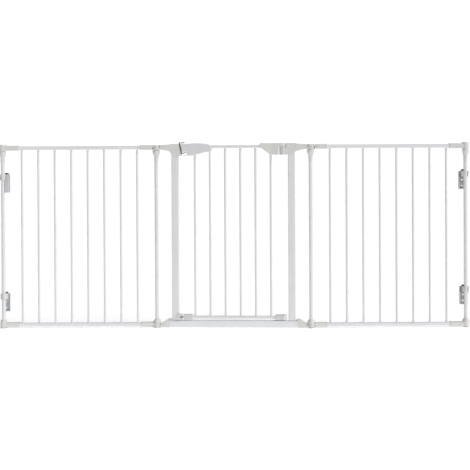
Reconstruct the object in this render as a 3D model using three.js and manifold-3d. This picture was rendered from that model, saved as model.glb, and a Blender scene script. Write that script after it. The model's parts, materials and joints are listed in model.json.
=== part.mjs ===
// A three-panel safety gate: a walk-through centre frame with a two-way door, and a side panel
// folding about a post on each side. Millimetres, +Z up, the front of the gate looks along -Y.
// The centre frame is built about x = 0. A side panel is built in its own group, whose x runs
// outwards from the post that it folds about.
import * as THREE from "three";
import { mergeVertices } from "three/addons/utils/BufferGeometryUtils.js";
import Module from "manifold-3d";

const wasm = await Module();
wasm.setup();

// ---------------------------------------------------------------- driving dimensions
const gap = 0.3; // between pieces that seat on each other
const doorwayPitch = 636; // post axis to post axis across the centre frame
const sidePitch = 636; // post axis to post axis across a side panel
const railSpacing = 731; // lower rail's centre to upper rail's centre
const leftFold = THREE.MathUtils.degToRad(-2.94); // how far each side panel stands off straight
const rightFold = THREE.MathUtils.degToRad(4.27);

const postDiameter = 16;
const postWall = 1.2;
const barDiameter = 9.5;
const sideBarCount = 8;
const doorBarCount = 6;
const railHeight = 15;
const railDepth = 20;
const doorRailHeight = 12;
const tubeWall = 1.5;
const uprightWidth = 30;
const uprightDepth = 18;
const thresholdHeight = 30;
const thresholdDepth = 20;
const thresholdLift = 2.5; // the threshold bar clears the floor

const footHeight = 3.7;
const jointDepth = 24; // moulded joints, front to back
const jointReach = 66; // post axis to the open end of a joint
const eyeWall = 7.5;
const collarLength = 48; // tapered collar under an upper joint
const domeHeight = 16;
const jawGap = 0.8; // running gap between an eye and what passes it

const uprightInset = 78; // post axis to upright's axis
const hingeInset = 20.5; // upright's inner face to the door's axis
const hingePinDiameter = 8;
const pinGap = 0.3; // radial clearance of every pin and post
const knuckleRadius = 14;
const strikeThickness = 2.5;
const strikeDepth = 20;
const shellWall = 2.5;
const handleDepth = 34;
const coverDepth = 28;
const thumbTravel = 10;

const clipStandOff = 10; // end post's surface to bracket pin's axis
const clipWall = 4.3;
const bracketHeight = 74;
const bracketWidth = 34;
const bracketThickness = 2;
const bracketPinDiameter = 6;
const facets = 16; // sides of a round piece

// ---------------------------------------------------------------- levels and places
const jointHeight = railHeight + 5;
const lowerJoint = footHeight + jawGap; // underside of the lower joints
const lowerRail = lowerJoint + jointHeight / 2;
const lowerLap = lowerJoint + 8; // where the two lower eyes meet
const domeBase = lowerJoint + 16.3;
const upperRail = lowerRail + railSpacing;
const upperJoint = upperRail - jointHeight / 2;
const jointTop = upperRail + jointHeight / 2;
const doorRail = upperRail + 1.5;
const sill = thresholdLift + thresholdHeight;
const doorSillRail = sill + 5.5 + doorRailHeight / 2;
const capTop = jointTop + 4.5; // top of the corner caps
const capFoot = upperRail - 36; // lowest edge of the corner caps
const uprightTop = upperRail - 5.5;

const postRadius = postDiameter / 2;
const barRadius = barDiameter / 2;
const eyeRadius = postRadius + eyeWall;
const endEyeRadius = postRadius + 6;
const clipReach = postRadius + clipStandOff;
const postX = doorwayPitch / 2;
const shoulder = eyeRadius + jawGap; // from a post's axis, clear of the eye beside it
const uprightX = postX - uprightInset;
const jamb = uprightX - uprightWidth / 2; // inner face of each upright
const thresholdEnd = uprightX + uprightWidth / 2 + 11;
const hingeX = jamb - hingeInset;
const firstSideBar = jointReach + 13.3;
const firstDoorBar = -(jamb - 67);
const lastDoorBar = jamb - 70.5;
const doorBarPitch = (lastDoorBar - firstDoorBar) / (doorBarCount - 1);
const hingeSplit = capTop - 16.2; // level between the hinge knuckle and the door's arm
const half = jointDepth / 2;

// ---------------------------------------------------------------- materials
const coat = { roughness: 0.35, metalness: 0.1 };
const moulded = { roughness: 0.5, metalness: 0 };
const metal = { roughness: 0.4, metalness: 0.9 };
const whiteSteel = new THREE.MeshStandardMaterial({ color: 0xeceef2, ...coat });
const whitePlastic = new THREE.MeshStandardMaterial({ color: 0xdedcd7, ...moulded });
const handlePlastic = new THREE.MeshStandardMaterial({ color: 0xd9d8dc, ...moulded });
const zinc = new THREE.MeshStandardMaterial({ color: 0xbcc1c5, ...metal });
const darkSteel = new THREE.MeshStandardMaterial({ color: 0x5a5b5e, ...metal });

// ---------------------------------------------------------------- solids
// A closed geometry as a solid, without the triangles that a pole or a seam collapses.
function solid(geometry) {
  const bare = geometry.index ? geometry.toNonIndexed() : geometry.clone();
  bare.deleteAttribute("normal");
  bare.deleteAttribute("uv");
  const merged = mergeVertices(bare, 1e-4);
  const corners = merged.index.array;
  const kept = [];
  for (let i = 0; i < corners.length; i += 3) {
    const [a, b, c] = corners.slice(i, i + 3);
    if (a !== b && b !== c && c !== a) kept.push(a, b, c);
  }
  return new wasm.Manifold(
    new wasm.Mesh({
      numProp: 3,
      vertProperties: merged.attributes.position.array,
      triVerts: new Uint32Array(kept),
    }),
  );
}

function join(...solids) {
  return solids.reduce((made, next) => made.add(next));
}

function cut(made, ...tools) {
  return tools.reduce((left, tool) => left.subtract(tool), made);
}

function box(xs, ys, zs) {
  const geometry = new THREE.BoxGeometry(xs[1] - xs[0], ys[1] - ys[0], zs[1] - zs[0]);
  geometry.translate((xs[0] + xs[1]) / 2, (ys[0] + ys[1]) / 2, (zs[0] + zs[1]) / 2);
  return solid(geometry);
}

// A cylinder standing about (x, y).
function rod(radius, zs, x = 0, y = 0, sides = facets) {
  const geometry = new THREE.CylinderGeometry(radius, radius, zs[1] - zs[0], sides);
  geometry.rotateX(Math.PI / 2);
  geometry.translate(x, y, (zs[0] + zs[1]) / 2);
  return solid(geometry);
}

// A cylinder lying along x, or along y.
function rodAlongX(radius, xs, y, z, sides = facets) {
  const geometry = new THREE.CylinderGeometry(radius, radius, xs[1] - xs[0], sides);
  geometry.rotateZ(Math.PI / 2);
  geometry.translate((xs[0] + xs[1]) / 2, y, z);
  return solid(geometry);
}

function rodAlongY(radius, ys, x, z, sides = facets) {
  const geometry = new THREE.CylinderGeometry(radius, radius, ys[1] - ys[0], sides);
  geometry.translate(x, (ys[0] + ys[1]) / 2, z);
  return solid(geometry);
}

// A solid of revolution standing about (x, y). Its [radius, z] points run anticlockwise.
function turned(profile, x = 0, y = 0, sides = facets) {
  const points = [...profile, profile[0]].map(([radius, z]) => new THREE.Vector2(radius, z));
  const geometry = new THREE.LatheGeometry(points, sides);
  geometry.rotateX(Math.PI / 2);
  geometry.translate(x, y, 0);
  return solid(geometry);
}

function extruded(points, length) {
  const shape = new THREE.Shape(points.map(([a, b]) => new THREE.Vector2(a, b)));
  return new THREE.ExtrudeGeometry(shape, { depth: length, bevelEnabled: false });
}

// An outline of [x, z] points, from one y to another.
function slab(points, ys) {
  const geometry = extruded(points, ys[1] - ys[0]);
  geometry.translate(0, 0, -ys[1]);
  geometry.rotateX(Math.PI / 2);
  return solid(geometry);
}

// An outline of [x, y] points, from one z to another.
function plate(points, zs) {
  const geometry = extruded(points, zs[1] - zs[0]);
  geometry.translate(0, 0, zs[0]);
  return solid(geometry);
}

function arc(x, y, radius, from, to, steps) {
  const points = [];
  for (let i = 0; i <= steps; i++) {
    const angle = THREE.MathUtils.degToRad(from + ((to - from) * i) / steps);
    points.push([x + radius * Math.cos(angle), y + radius * Math.sin(angle)]);
  }
  return points;
}

function roundedRectangle(width, height, radius) {
  const w = width / 2 - radius;
  const h = height / 2 - radius;
  return [
    ...arc(w, h, radius, 0, 90, 2),
    ...arc(-w, h, radius, 90, 180, 2),
    ...arc(-w, -h, radius, 180, 270, 2),
    ...arc(w, -h, radius, 270, 360, 2),
  ];
}

// The outline that lies inside another by a wall, whose points run anticlockwise.
function inset(points, wall) {
  const lines = points.map(([x, z], i) => {
    const [nextX, nextZ] = points[(i + 1) % points.length];
    const length = Math.hypot(nextX - x, nextZ - z);
    const along = [(nextX - x) / length, (nextZ - z) / length];
    return { start: [x - along[1] * wall, z + along[0] * wall], along };
  });
  return lines.map((line, i) => {
    const before = lines.at(i - 1);
    const cross = before.along[0] * line.along[1] - before.along[1] * line.along[0];
    const dx = line.start[0] - before.start[0];
    const dz = line.start[1] - before.start[1];
    const share = (dx * line.along[1] - dz * line.along[0]) / cross;
    return [before.start[0] + before.along[0] * share, before.start[1] + before.along[1] * share];
  });
}

// The outline of a strip bent along a line of [x, z] points.
function strip(line, thickness) {
  const side = (sign) =>
    line.map(([x, z], i) => {
      const [x0, z0] = line[Math.max(i - 1, 0)];
      const [x1, z1] = line[Math.min(i + 1, line.length - 1)];
      const length = Math.hypot(x1 - x0, z1 - z0);
      const offset = (sign * thickness) / 2 / length;
      return [x - (z1 - z0) * offset, z + (x1 - x0) * offset];
    });
  return [...side(-1), ...side(1).reverse()];
}

// A block lying along x with rounded long edges.
function lyingBlock(height, depth, radius, z, xs) {
  const geometry = extruded(roundedRectangle(height, depth, radius), xs[1] - xs[0]);
  geometry.rotateY(Math.PI / 2);
  geometry.translate(xs[0], 0, z);
  return solid(geometry);
}

function lyingTube(height, depth, z, xs) {
  const outer = lyingBlock(height, depth, 4, z, xs);
  const bore = [xs[0] - 1, xs[1] + 1];
  return cut(outer, lyingBlock(height - 2 * tubeWall, depth - 2 * tubeWall, 2.5, z, bore));
}

function standingTube(width, depth, x, zs) {
  const about = ([a, b]) => [a + x, b];
  const outer = roundedRectangle(width, depth, 4).map(about);
  const inner = roundedRectangle(width - 2 * tubeWall, depth - 2 * tubeWall, 2.5).map(about);
  return cut(plate(outer, zs), plate(inner, [zs[0] - 1, zs[1] + 1]));
}

function roundTube(radius, wall, zs, x = 0) {
  return cut(rod(radius, zs, x), rod(radius - wall, [zs[0] - 1, zs[1] + 1], x));
}

class Helix extends THREE.Curve {
  constructor(start, length, radius, turns, z) {
    super();
    Object.assign(this, { start, length, radius, turns, z });
  }

  getPoint(t, target = new THREE.Vector3()) {
    const angle = 2 * Math.PI * this.turns * t;
    return target.set(
      this.start + this.length * t,
      this.radius * Math.cos(angle),
      this.z + this.radius * Math.sin(angle),
    );
  }
}

// Puts a solid into a group as one named piece.
function piece(group, name, made, material) {
  const { numProp, numVert, vertProperties, triVerts } = made.getMesh();
  const position = new Float32Array(numVert * 3);
  for (let i = 0; i < numVert; i++) {
    position.set(vertProperties.subarray(i * numProp, i * numProp + 3), i * 3);
  }
  const geometry = new THREE.BufferGeometry();
  geometry.setAttribute("position", new THREE.BufferAttribute(position, 3));
  geometry.setIndex(new THREE.BufferAttribute(new Uint32Array(triVerts), 1));
  geometry.computeVertexNormals();
  const mesh = new THREE.Mesh(geometry, material);
  mesh.name = name;
  group.add(mesh);
}

// ---------------------------------------------------------------- posts
const postBore = (zs, x = 0) => rod(postRadius + pinGap, zs, x);

function collar(radius, top, x) {
  const bore = postRadius + pinGap;
  const foot = top - collarLength;
  return turned(
    [
      [bore, foot],
      [postRadius + 1.6, foot],
      [postRadius + 2.4, foot + 9],
      [radius - 3.4, foot + 18],
      [radius - 1, foot + 29],
      [radius - 0.2, foot + 37],
      [radius - 0.2, top - 2],
      [radius - 1.2, top],
      [bore, top],
    ],
    x,
  );
}

function foot(radius, x) {
  const plug = postRadius - postWall - gap;
  return turned(
    [
      [0, 0],
      [radius - 0.8, 0],
      [radius, 0.8],
      [radius, footHeight - 0.5],
      [radius - 0.5, footHeight],
      [plug, footHeight],
      [plug, footHeight + 18],
      [plug - 1, footHeight + 20],
      [0, footHeight + 20],
    ],
    x,
  );
}

function dome(x) {
  const bore = postRadius + pinGap;
  return turned(
    [
      [bore, domeBase],
      [eyeRadius, domeBase],
      [eyeRadius, domeBase + 3],
      [eyeRadius - 1, domeBase + 7],
      [eyeRadius - 3, domeBase + 11],
      [eyeRadius - 5, domeBase + 14],
      [postRadius + 1.5, domeBase + domeHeight],
      [bore, domeBase + domeHeight],
    ],
    x,
  );
}

// A post that a side panel folds about, with what is fixed on it.
function middlePost(group, side, x) {
  const top = jointTop - 3.5;
  piece(group, `${side}_post`, roundTube(postRadius, postWall, [footHeight + gap, top], x), whiteSteel);
  piece(group, `${side}_post_collar`, collar(eyeRadius, upperJoint - jawGap, x), whitePlastic);
  piece(group, `${side}_post_dome`, dome(x), whitePlastic);
  piece(group, `${side}_post_foot`, foot(eyeRadius - 1, x), whitePlastic);
}

// ---------------------------------------------------------------- centre frame
// The latch side's cap leans towards the doorway as it goes down: the strike lies on that face.
const strikeLean = 0.23;
const strikeFace = (z) => jamb - 1.5 - (capTop - z) * strikeLean;

// The eye of a centre piece, and the neck that carries it.
function centreEye(sign, zs) {
  const ends = [sign * (postX - shoulder - 3), sign * postX].sort((a, b) => a - b);
  return join(rod(eyeRadius, zs, sign * postX), box(ends, [-half, half], zs));
}

// A corner cap: a plate outline, the eye about the post, and the socket for the upright.
function cornerCap(sign, points, extras) {
  const mirrored = points.map(([u, z]) => [sign * u, z]);
  const eye = centreEye(sign, [upperJoint, upperRail - gap]);
  const socket = [sign * (jamb - gap), sign * (jamb + uprightWidth + gap)].sort((a, b) => a - b);
  const socketHalf = uprightDepth / 2 + gap;
  return cut(
    join(slab(mirrored, [-half, half]), eye, ...extras),
    box(socket, [-socketHalf, socketHalf], [capFoot - 20, uprightTop + gap]),
    postBore([upperJoint - 1, jointTop], sign * postX),
  );
}

function latchCap() {
  const neck = postX - shoulder;
  const outer = uprightX + uprightWidth / 2 + 2.5;
  const underside = arc(0, 0, 1, 90, 180, 6).map(([a, b]) => [
    outer + (neck - outer) * (1 + a),
    capFoot + 12 + (upperJoint - capFoot - 12) * b,
  ]);
  return cornerCap(
    -1,
    [
      [neck, jointTop],
      [uprightX + 30, jointTop + 2],
      [uprightX, capTop - 0.5],
      [strikeFace(capTop), capTop],
      [strikeFace(capFoot + 6), capFoot + 6],
      [strikeFace(capFoot + 6), capFoot],
      [jamb, capFoot],
      [outer, capFoot + 9],
      ...underside.reverse(),
    ],
    [],
  );
}

function hingeCap() {
  const neck = postX - shoulder;
  const knuckle = [capFoot + 3, hingeSplit - 0.4];
  const points = [
    [neck, upperJoint],
    [neck, jointTop],
    [uprightX + 30, jointTop + 2.5],
    [uprightX, capTop],
    [jamb - 0.4, capTop],
    [jamb - 0.4, knuckle[0]],
    [uprightX - 4, knuckle[0] + 1.5],
    [uprightX + 18, capFoot + 17],
    [neck - 12, upperJoint - 0.5],
  ];
  const arm = box([hingeX, jamb + 5], [-half, half], knuckle);
  const made = cornerCap(1, points, [rod(knuckleRadius, knuckle, hingeX), arm]);
  const bore = rod(hingePinDiameter / 2 + pinGap, [capFoot + 12.2, capTop + 1], hingeX);
  return cut(made, bore);
}

// The arm that plugs into the end of the threshold bar and reaches the foot of a post.
function thresholdArm(sign) {
  const neck = postX - shoulder;
  const seat = thresholdEnd + gap;
  const points = [
    [neck, lowerJoint],
    [neck, lowerJoint + 15.5],
    [(neck + seat) / 2, lowerJoint + 25],
    [seat + 3, sill + 5.5],
    [seat - 5, sill + 4.5],
    [uprightX + uprightWidth / 2 + 1, sill + 3],
    [uprightX + uprightWidth / 2 + 1, sill + gap],
    [seat, sill + gap],
    [seat, thresholdLift],
    [(neck + seat) / 2, lowerJoint - 1],
  ].map(([u, z]) => [sign * u, z]);
  const plug = [sign * (thresholdEnd - 34), sign * (seat + 2)].sort((a, b) => a - b);
  const inside = tubeWall + gap;
  const level = thresholdLift + thresholdHeight / 2;
  return cut(
    join(
      slab(points, [-half, half]),
      centreEye(sign, [lowerJoint, lowerLap - gap]),
      lyingBlock(thresholdHeight - 2 * inside, thresholdDepth - 2 * inside, 2.5, level, plug),
    ),
    postBore([lowerJoint - 1, sill], sign * postX),
  );
}

function thresholdBar() {
  const level = thresholdLift + thresholdHeight / 2;
  const tube = lyingTube(thresholdHeight, thresholdDepth, level, [-thresholdEnd, thresholdEnd]);
  return cut(tube, rod(hingePinDiameter / 2 + pinGap, [level, sill + 1], hingeX));
}

// The steel strike: a lip over the handle, a web down the cap's face, and a lip in the handle's slot.
function latchStrike() {
  const lean = (z) => -strikeFace(z) + gap + strikeThickness / 2 + 0.1;
  const line = [
    [-jamb + 24, capTop + 5.6],
    [-jamb + 19, capTop + 4.3],
    [-jamb + 5.5, capTop + 4.2],
    [-jamb + 3.6, capTop + 3.2],
    [lean(capTop + 0.8), capTop + 0.8],
    [lean(capTop - 3), capTop - 3],
    [lean(capTop - 38), capTop - 38],
    [lean(capTop - 41), capTop - 40.6],
    [lean(capTop - 41) + 3, capTop - 41],
    [lean(capTop - 41) + 6.4, capTop - 38.4],
    [-jamb + 23, capTop - 36.8],
    [-jamb + 31.5, capTop - 36.7],
  ];
  return slab(strip(line, strikeThickness), [-strikeDepth / 2, strikeDepth / 2]);
}

const catchLevel = sill + 14;
const catchPinRadius = 3.5;

// The fork low on the latch side: a round boss on the upright's face, slotted for the door's pin.
function floorCatch() {
  const front = -uprightDepth / 2 - gap;
  const face = -jamb + 12.5;
  return cut(
    join(
      rodAlongY(12.5, [front - 6.7, front], -jamb + 1, catchLevel),
      box([-jamb + gap, face], [front - 6.7, uprightDepth / 2], [catchLevel - 12, catchLevel + 12]),
    ),
    box([-jamb + 2, face + 5], [-30, 30], [catchLevel - 4.5, catchLevel + 4.5]),
  );
}

function upperHingePin() {
  return rod(hingePinDiameter / 2, [capFoot + 12.5, capTop - 3.4], hingeX);
}

function lowerHingePin() {
  const stud = rod(hingePinDiameter / 2, [sill - 10, doorSillRail + 5.6], hingeX);
  return join(stud, rod(hingePinDiameter / 2 + 3, [sill + gap, sill + 1.8], hingeX));
}

function centreFrame(group) {
  for (const [side, sign] of [["left", -1], ["right", 1]]) {
    const upright = standingTube(uprightWidth, uprightDepth, sign * uprightX, [sill + gap, uprightTop]);
    piece(group, `${side}_upright`, upright, whiteSteel);
    piece(group, `${side}_threshold_arm`, thresholdArm(sign), whitePlastic);
    middlePost(group, side, sign * postX);
  }
  piece(group, "threshold_bar", thresholdBar(), whiteSteel);
  piece(group, "latch_corner_cap", latchCap(), whitePlastic);
  piece(group, "hinge_corner_cap", hingeCap(), whitePlastic);
  piece(group, "latch_strike", latchStrike(), darkSteel);
  piece(group, "floor_catch", floorCatch(), whitePlastic);
  piece(group, "upper_hinge_pin", upperHingePin(), zinc);
  piece(group, "lower_hinge_pin", lowerHingePin(), zinc);
}

// ---------------------------------------------------------------- door
const doorBarX = (i) => firstDoorBar + i * doorBarPitch;
const railHalf = railDepth / 2 + gap;
const railPassage = (xs, z) => {
  const reach = doorRailHeight / 2 + gap;
  return box(xs, [-railHalf, railHalf], [z - reach, z + reach]);
};
const barPassage = (i) => rod(barRadius + gap, [capFoot - 10, doorRail], doorBarX(i));

function doorFrame() {
  const bars = [];
  const into = doorRailHeight / 2 - 0.9;
  for (let i = 0; i < doorBarCount; i++) {
    bars.push(rod(barRadius, [doorSillRail + into, doorRail - into], doorBarX(i), 0, 10));
  }
  return join(
    lyingTube(doorRailHeight, railDepth, doorRail, [-jamb + 25, lastDoorBar + 10.5]),
    lyingTube(doorRailHeight, railDepth, doorSillRail, [-jamb + 29, hingeX - 19]),
    ...bars,
  );
}

// The handle: two shells about the top rail, slotted at the end for the strike's lower lip.
const handleEnd = (z) => -strikeFace(z) + 5.6;
const handleRight = doorBarX(1) + barRadius + 1.75;
const handleTop = capTop + 0.4;
const slotLevels = [capFoot + 5, capFoot + 18.5];
const slotEnd = -jamb + 35;
const boltLevels = [capFoot + 21.8, capFoot + 30.4];
const thumbPad = [firstDoorBar - 14, firstDoorBar + 18];
const springSeat = firstDoorBar + 12;
const springStop = springSeat + 28;

function handleOutline() {
  return [
    [handleEnd(capFoot + 1.5), capFoot + 1.5],
    [firstDoorBar - 13, capFoot + 1.5],
    [handleRight - 33, capFoot + 13.5],
    [handleRight - 3, capFoot + 18],
    [handleRight, capFoot + 20],
    [handleRight, capFoot + 39],
    [handleRight - 5, capFoot + 44.5],
    [handleRight - 16, capFoot + 48.8],
    [handleRight - 33, handleTop],
    [handleEnd(capTop - 0.5), capTop - 0.5],
  ];
}

function handleShell(sign) {
  const depth = handleDepth / 2;
  const ys = (from, to) => [sign * from, sign * to].sort((a, b) => a - b);
  const outer = slab(handleOutline(), ys(gap / 2, depth));
  const cavity = slab(inset(handleOutline(), shellWall), ys(-1, depth - shellWall));
  const surround = box(
    [handleEnd(capTop) - 5, slotEnd + shellWall],
    ys(gap / 2, depth),
    [capFoot - 5, slotLevels[1] + shellWall],
  );
  let made = join(cut(outer, cavity), outer.intersect(surround));
  if (sign < 0) {
    const rib = [springStop, springStop + 3];
    const level = [capFoot + 20, doorRail - doorRailHeight / 2 - 0.4];
    made = join(made, box(rib, [-depth + 1, 4], level));
  }
  return cut(
    made,
    box([-jamb - 20, slotEnd], [-30, 30], slotLevels),
    box([-jamb - 20, -jamb + 22], [-8.6, 8.6], [boltLevels[0] - gap, boltLevels[1] + gap]),
    box([thumbPad[0] - 0.5, thumbPad[1] + thumbTravel + 0.5], [-7.5, 7.5], [capTop - 5, capTop + 5]),
    railPassage([-jamb + 24.7, handleRight + 5], doorRail),
    barPassage(0),
    barPassage(1),
  );
}

// The thumb slide: a pad above the rail, and two cheeks down to a yoke around the first bar.
function latchSlider() {
  const front = [firstDoorBar - 22, firstDoorBar - 18];
  const back = [firstDoorBar + 8, springSeat - gap];
  const under = doorRail + doorRailHeight / 2 + 1;
  const yoke = [boltLevels[0] + 0.5, boltLevels[1]];
  const cheek = (ys) => box([front[0], back[1]], ys, [yoke[0], under + 0.5]);
  return join(
    box(thumbPad, [-7, 7], [under + 1, capTop + 1.4]),
    box([front[0], thumbPad[1]], [-13, 13], [under, under + 2.8]),
    cheek([-13, -railHalf - 0.5]),
    cheek([railHalf + 0.5, 13]),
    box(front, [-13, 13], yoke),
    box(back, [-13, 13], yoke),
  );
}

function latchBolt() {
  const tip = handleEnd((boltLevels[0] + boltLevels[1]) / 2) - 1;
  return box([tip, firstDoorBar - 22 - gap], [-8, 8], boltLevels);
}

function latchSpring() {
  const wire = 0.6;
  const level = (boltLevels[0] + boltLevels[1]) / 2;
  const length = springStop - springSeat - 2 * (wire + gap);
  const path = new Helix(springSeat + wire + gap, length, 3.4, 6, level);
  const section = new THREE.Shape(arc(0, 0, wire, 0, 288, 4).map(([a, b]) => new THREE.Vector2(a, b)));
  return solid(new THREE.ExtrudeGeometry(section, { steps: 60, extrudePath: path, bevelEnabled: false }));
}

// The hinge cover: two shells about the rail's other end, with an arm over the hinge pin.
function hingeCoverShell(sign) {
  const depth = coverDepth / 2;
  const top = capTop + gap;
  const face = hingeX - knuckleRadius - 3;
  const left = lastDoorBar - 44;
  const low = capFoot + 3;
  const body = [
    [lastDoorBar - 1.5, low],
    [face, low],
    [face, top],
    [left + 3, top],
    [left, top - 3],
    [left, top - 15],
    [left + 6.5, top - 20],
  ];
  const arm = [hingeSplit + 0.4, top];
  const ys = [sign * (gap / 2), sign * (depth + 1)].sort((a, b) => a - b);
  const whole = join(
    slab(body, [-depth, depth]),
    box([face - 1, hingeX], [-depth, depth], arm),
    rod(knuckleRadius, arm, hingeX),
  );
  const hollow = slab(inset(body, shellWall), [-depth + shellWall, depth - shellWall]);
  return cut(
    whole.intersect(box([left - 5, hingeX + 30], ys, [low - 5, top + 5])),
    hollow,
    rod(hingePinDiameter / 2 + pinGap, [hingeSplit - 1, capTop - 3.1], hingeX),
    railPassage([left - 5, lastDoorBar + 10.8], doorRail),
    barPassage(doorBarCount - 1),
  );
}

const blockHalf = railHalf + 2.2;

function doorHingeBlock() {
  const left = hingeX - 36.5;
  const levels = [sill + 2.3, doorSillRail + 11.3];
  const points = [
    [left, levels[0]],
    [hingeX, levels[0]],
    [hingeX, levels[1]],
    [left + 5, levels[1]],
    [left, levels[1] - 7],
  ];
  return cut(
    join(slab(points, [-blockHalf, blockHalf]), rod(knuckleRadius, levels, hingeX)),
    railPassage([left - 5, hingeX - 18.7], doorSillRail),
    rod(hingePinDiameter / 2 + pinGap, [sill, doorSillRail + 6], hingeX),
  );
}

const catchBlock = [-jamb + 17.5, -jamb + 54.5];

function doorCatchBlock() {
  const levels = [sill + 3, doorSillRail + 12.5];
  return cut(
    box(catchBlock, [-blockHalf, blockHalf], levels),
    railPassage([-jamb + 28.7, catchBlock[1] + 5], doorSillRail),
    rodAlongX(catchPinRadius + gap, [catchBlock[0] - 5, -jamb + 28.4], 0, catchLevel),
  );
}

function doorCatchPin() {
  return rodAlongX(catchPinRadius, [-jamb + 4.5, -jamb + 28], 0, catchLevel);
}

function door(group) {
  piece(group, "door_frame", doorFrame(), whiteSteel);
  piece(group, "handle_front", handleShell(-1), handlePlastic);
  piece(group, "handle_back", handleShell(1), handlePlastic);
  piece(group, "latch_slider", latchSlider(), handlePlastic);
  piece(group, "latch_bolt", latchBolt(), zinc);
  piece(group, "latch_spring", latchSpring(), zinc);
  piece(group, "hinge_cover_front", hingeCoverShell(-1), whitePlastic);
  piece(group, "hinge_cover_back", hingeCoverShell(1), whitePlastic);
  piece(group, "door_hinge_block", doorHingeBlock(), whitePlastic);
  piece(group, "door_catch_block", doorCatchBlock(), whitePlastic);
  piece(group, "door_catch_pin", doorCatchPin(), zinc);
}

// ---------------------------------------------------------------- side panels
function panelFrame() {
  const ends = [jointReach - 40, sidePitch - jointReach + 40];
  const into = railHeight / 2 - 0.9;
  const pitch = (sidePitch - 2 * firstSideBar) / (sideBarCount - 1);
  const bars = [];
  for (let i = 0; i < sideBarCount; i++) {
    bars.push(rod(barRadius, [lowerRail + into, upperRail - into], firstSideBar + i * pitch, 0, 10));
  }
  return join(
    lyingTube(railHeight, railDepth, lowerRail, ends),
    lyingTube(railHeight, railDepth, upperRail, ends),
    ...bars,
  );
}

// The socket that a rail's end slides into.
function railSocket(z, xs) {
  const reach = railHeight / 2 + gap;
  return box(xs, [-railHalf, railHalf], [z - reach, z + reach]);
}

// A joint on the post that the panel folds about: its eye is half as tall as the joint.
function innerJoint(z, eye, bore) {
  const body = lyingBlock(jointHeight, jointDepth, 5, z, [shoulder, jointReach]);
  const neck = box([0, shoulder + 4], [-half, half], eye);
  return cut(
    join(body, neck, rod(eyeRadius, eye)),
    postBore(bore),
    railSocket(z, [jointReach - 40 - gap, jointReach + 1]),
  );
}

// A joint on the end post, from its eye's profile.
function outerJoint(z, profile) {
  const body = lyingBlock(jointHeight, jointDepth, 5, z, [sidePitch - jointReach, sidePitch - 9]);
  return cut(
    join(body, turned(profile, sidePitch)),
    postBore([z - 30, z + jointHeight / 2 + 1.8], sidePitch),
    railSocket(z, [sidePitch - jointReach - 1, sidePitch - jointReach + 40 + gap]),
  );
}

function upperEndEye() {
  const low = upperJoint - 2.5;
  const top = capTop + gap;
  return [
    [0, low],
    [endEyeRadius, low],
    [endEyeRadius, top - 3.3],
    [endEyeRadius - 1.2, top - 1],
    [endEyeRadius - 3.5, top],
    [0, top],
  ];
}

function lowerEndEye() {
  const low = footHeight + 0.6;
  const bore = postRadius + pinGap;
  return [
    [bore, low],
    [endEyeRadius, low],
    [endEyeRadius, low + 23],
    [endEyeRadius - 1.5, low + 28],
    [postRadius + 2, low + 32],
    [bore, low + 32],
  ];
}

function lowerOuterJoint() {
  return cut(outerJoint(lowerRail, lowerEndEye()), postBore([0, 60], sidePitch));
}

// The plastic clip that snaps round the end post and carries the bracket's pin.
const clipLevels = [bracketHeight - 23, bracketHeight + 1];

function clip() {
  const ring = postRadius + pinGap + clipWall;
  return cut(
    join(
      rod(ring, clipLevels),
      box([5, clipReach], [-6, 6], clipLevels),
      rod(8.5, clipLevels, clipReach),
    ),
    postBore([0, 200]),
    rod(bracketPinDiameter / 2 + pinGap, [0, 200], clipReach),
    box([-ring - 5, -5], [-5.5, 5.5], [0, 200]),
  );
}

function bracketPin() {
  const radius = bracketPinDiameter / 2;
  const head = clipLevels[1] + 0.4;
  return turned(
    [
      [0, clipLevels[0] - 5],
      [radius, clipLevels[0] - 5],
      [radius, head],
      [9, head],
      [9, head + 1.2],
      [8, head + 3.6],
      [5.5, head + 5.6],
      [0, head + 6.4],
    ],
    clipReach,
  );
}

// The wall channel, about its pin: a web to screw to the wall, two cheeks, and two shelves.
function wallChannel() {
  const web = [9.2, 9.2 + bracketThickness];
  const edge = bracketWidth / 2;
  const inside = edge - bracketThickness;
  const split = clipLevels[0] - 1.5;
  const cheek = (ys) =>
    join(box([-6, web[1]], ys, [0, split]), box([0, web[1]], ys, [split - 1, bracketHeight]));
  const shelf = (zs) => join(rod(9.2, zs), box([0, web[1]], [-edge, edge], zs));
  const screwHoles = [14, 38].map((z) => rodAlongX(3, [web[0] - 3, web[1] + 3], 0, z));
  return cut(
    join(
      box(web, [-edge, edge], [0, bracketHeight]),
      cheek([-edge, -inside]),
      cheek([inside, edge]),
      shelf([0, bracketThickness]),
      shelf([clipLevels[0] - 0.8 - bracketThickness, clipLevels[0] - 0.8]),
    ),
    rod(bracketPinDiameter / 2 + pinGap, [split - 10, 200]),
    ...screwHoles,
  );
}

// A bracket on the end post. Both angles are in degrees from the panel's own direction.
function wallBracket(panel, name, level, clipAngle, channelAngle) {
  const onPost = new THREE.Group();
  onPost.position.set(sidePitch, 0, level);
  onPost.rotation.z = THREE.MathUtils.degToRad(clipAngle);
  const onPin = new THREE.Group();
  onPin.position.set(clipReach, 0, 0);
  onPin.rotation.z = THREE.MathUtils.degToRad(channelAngle - clipAngle);
  piece(onPost, `${name}_clip`, clip(), whitePlastic);
  piece(onPost, `${name}_pin`, bracketPin(), darkSteel);
  piece(onPin, `${name}_channel`, wallChannel(), zinc);
  onPost.add(onPin);
  panel.add(onPost);
}

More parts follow.
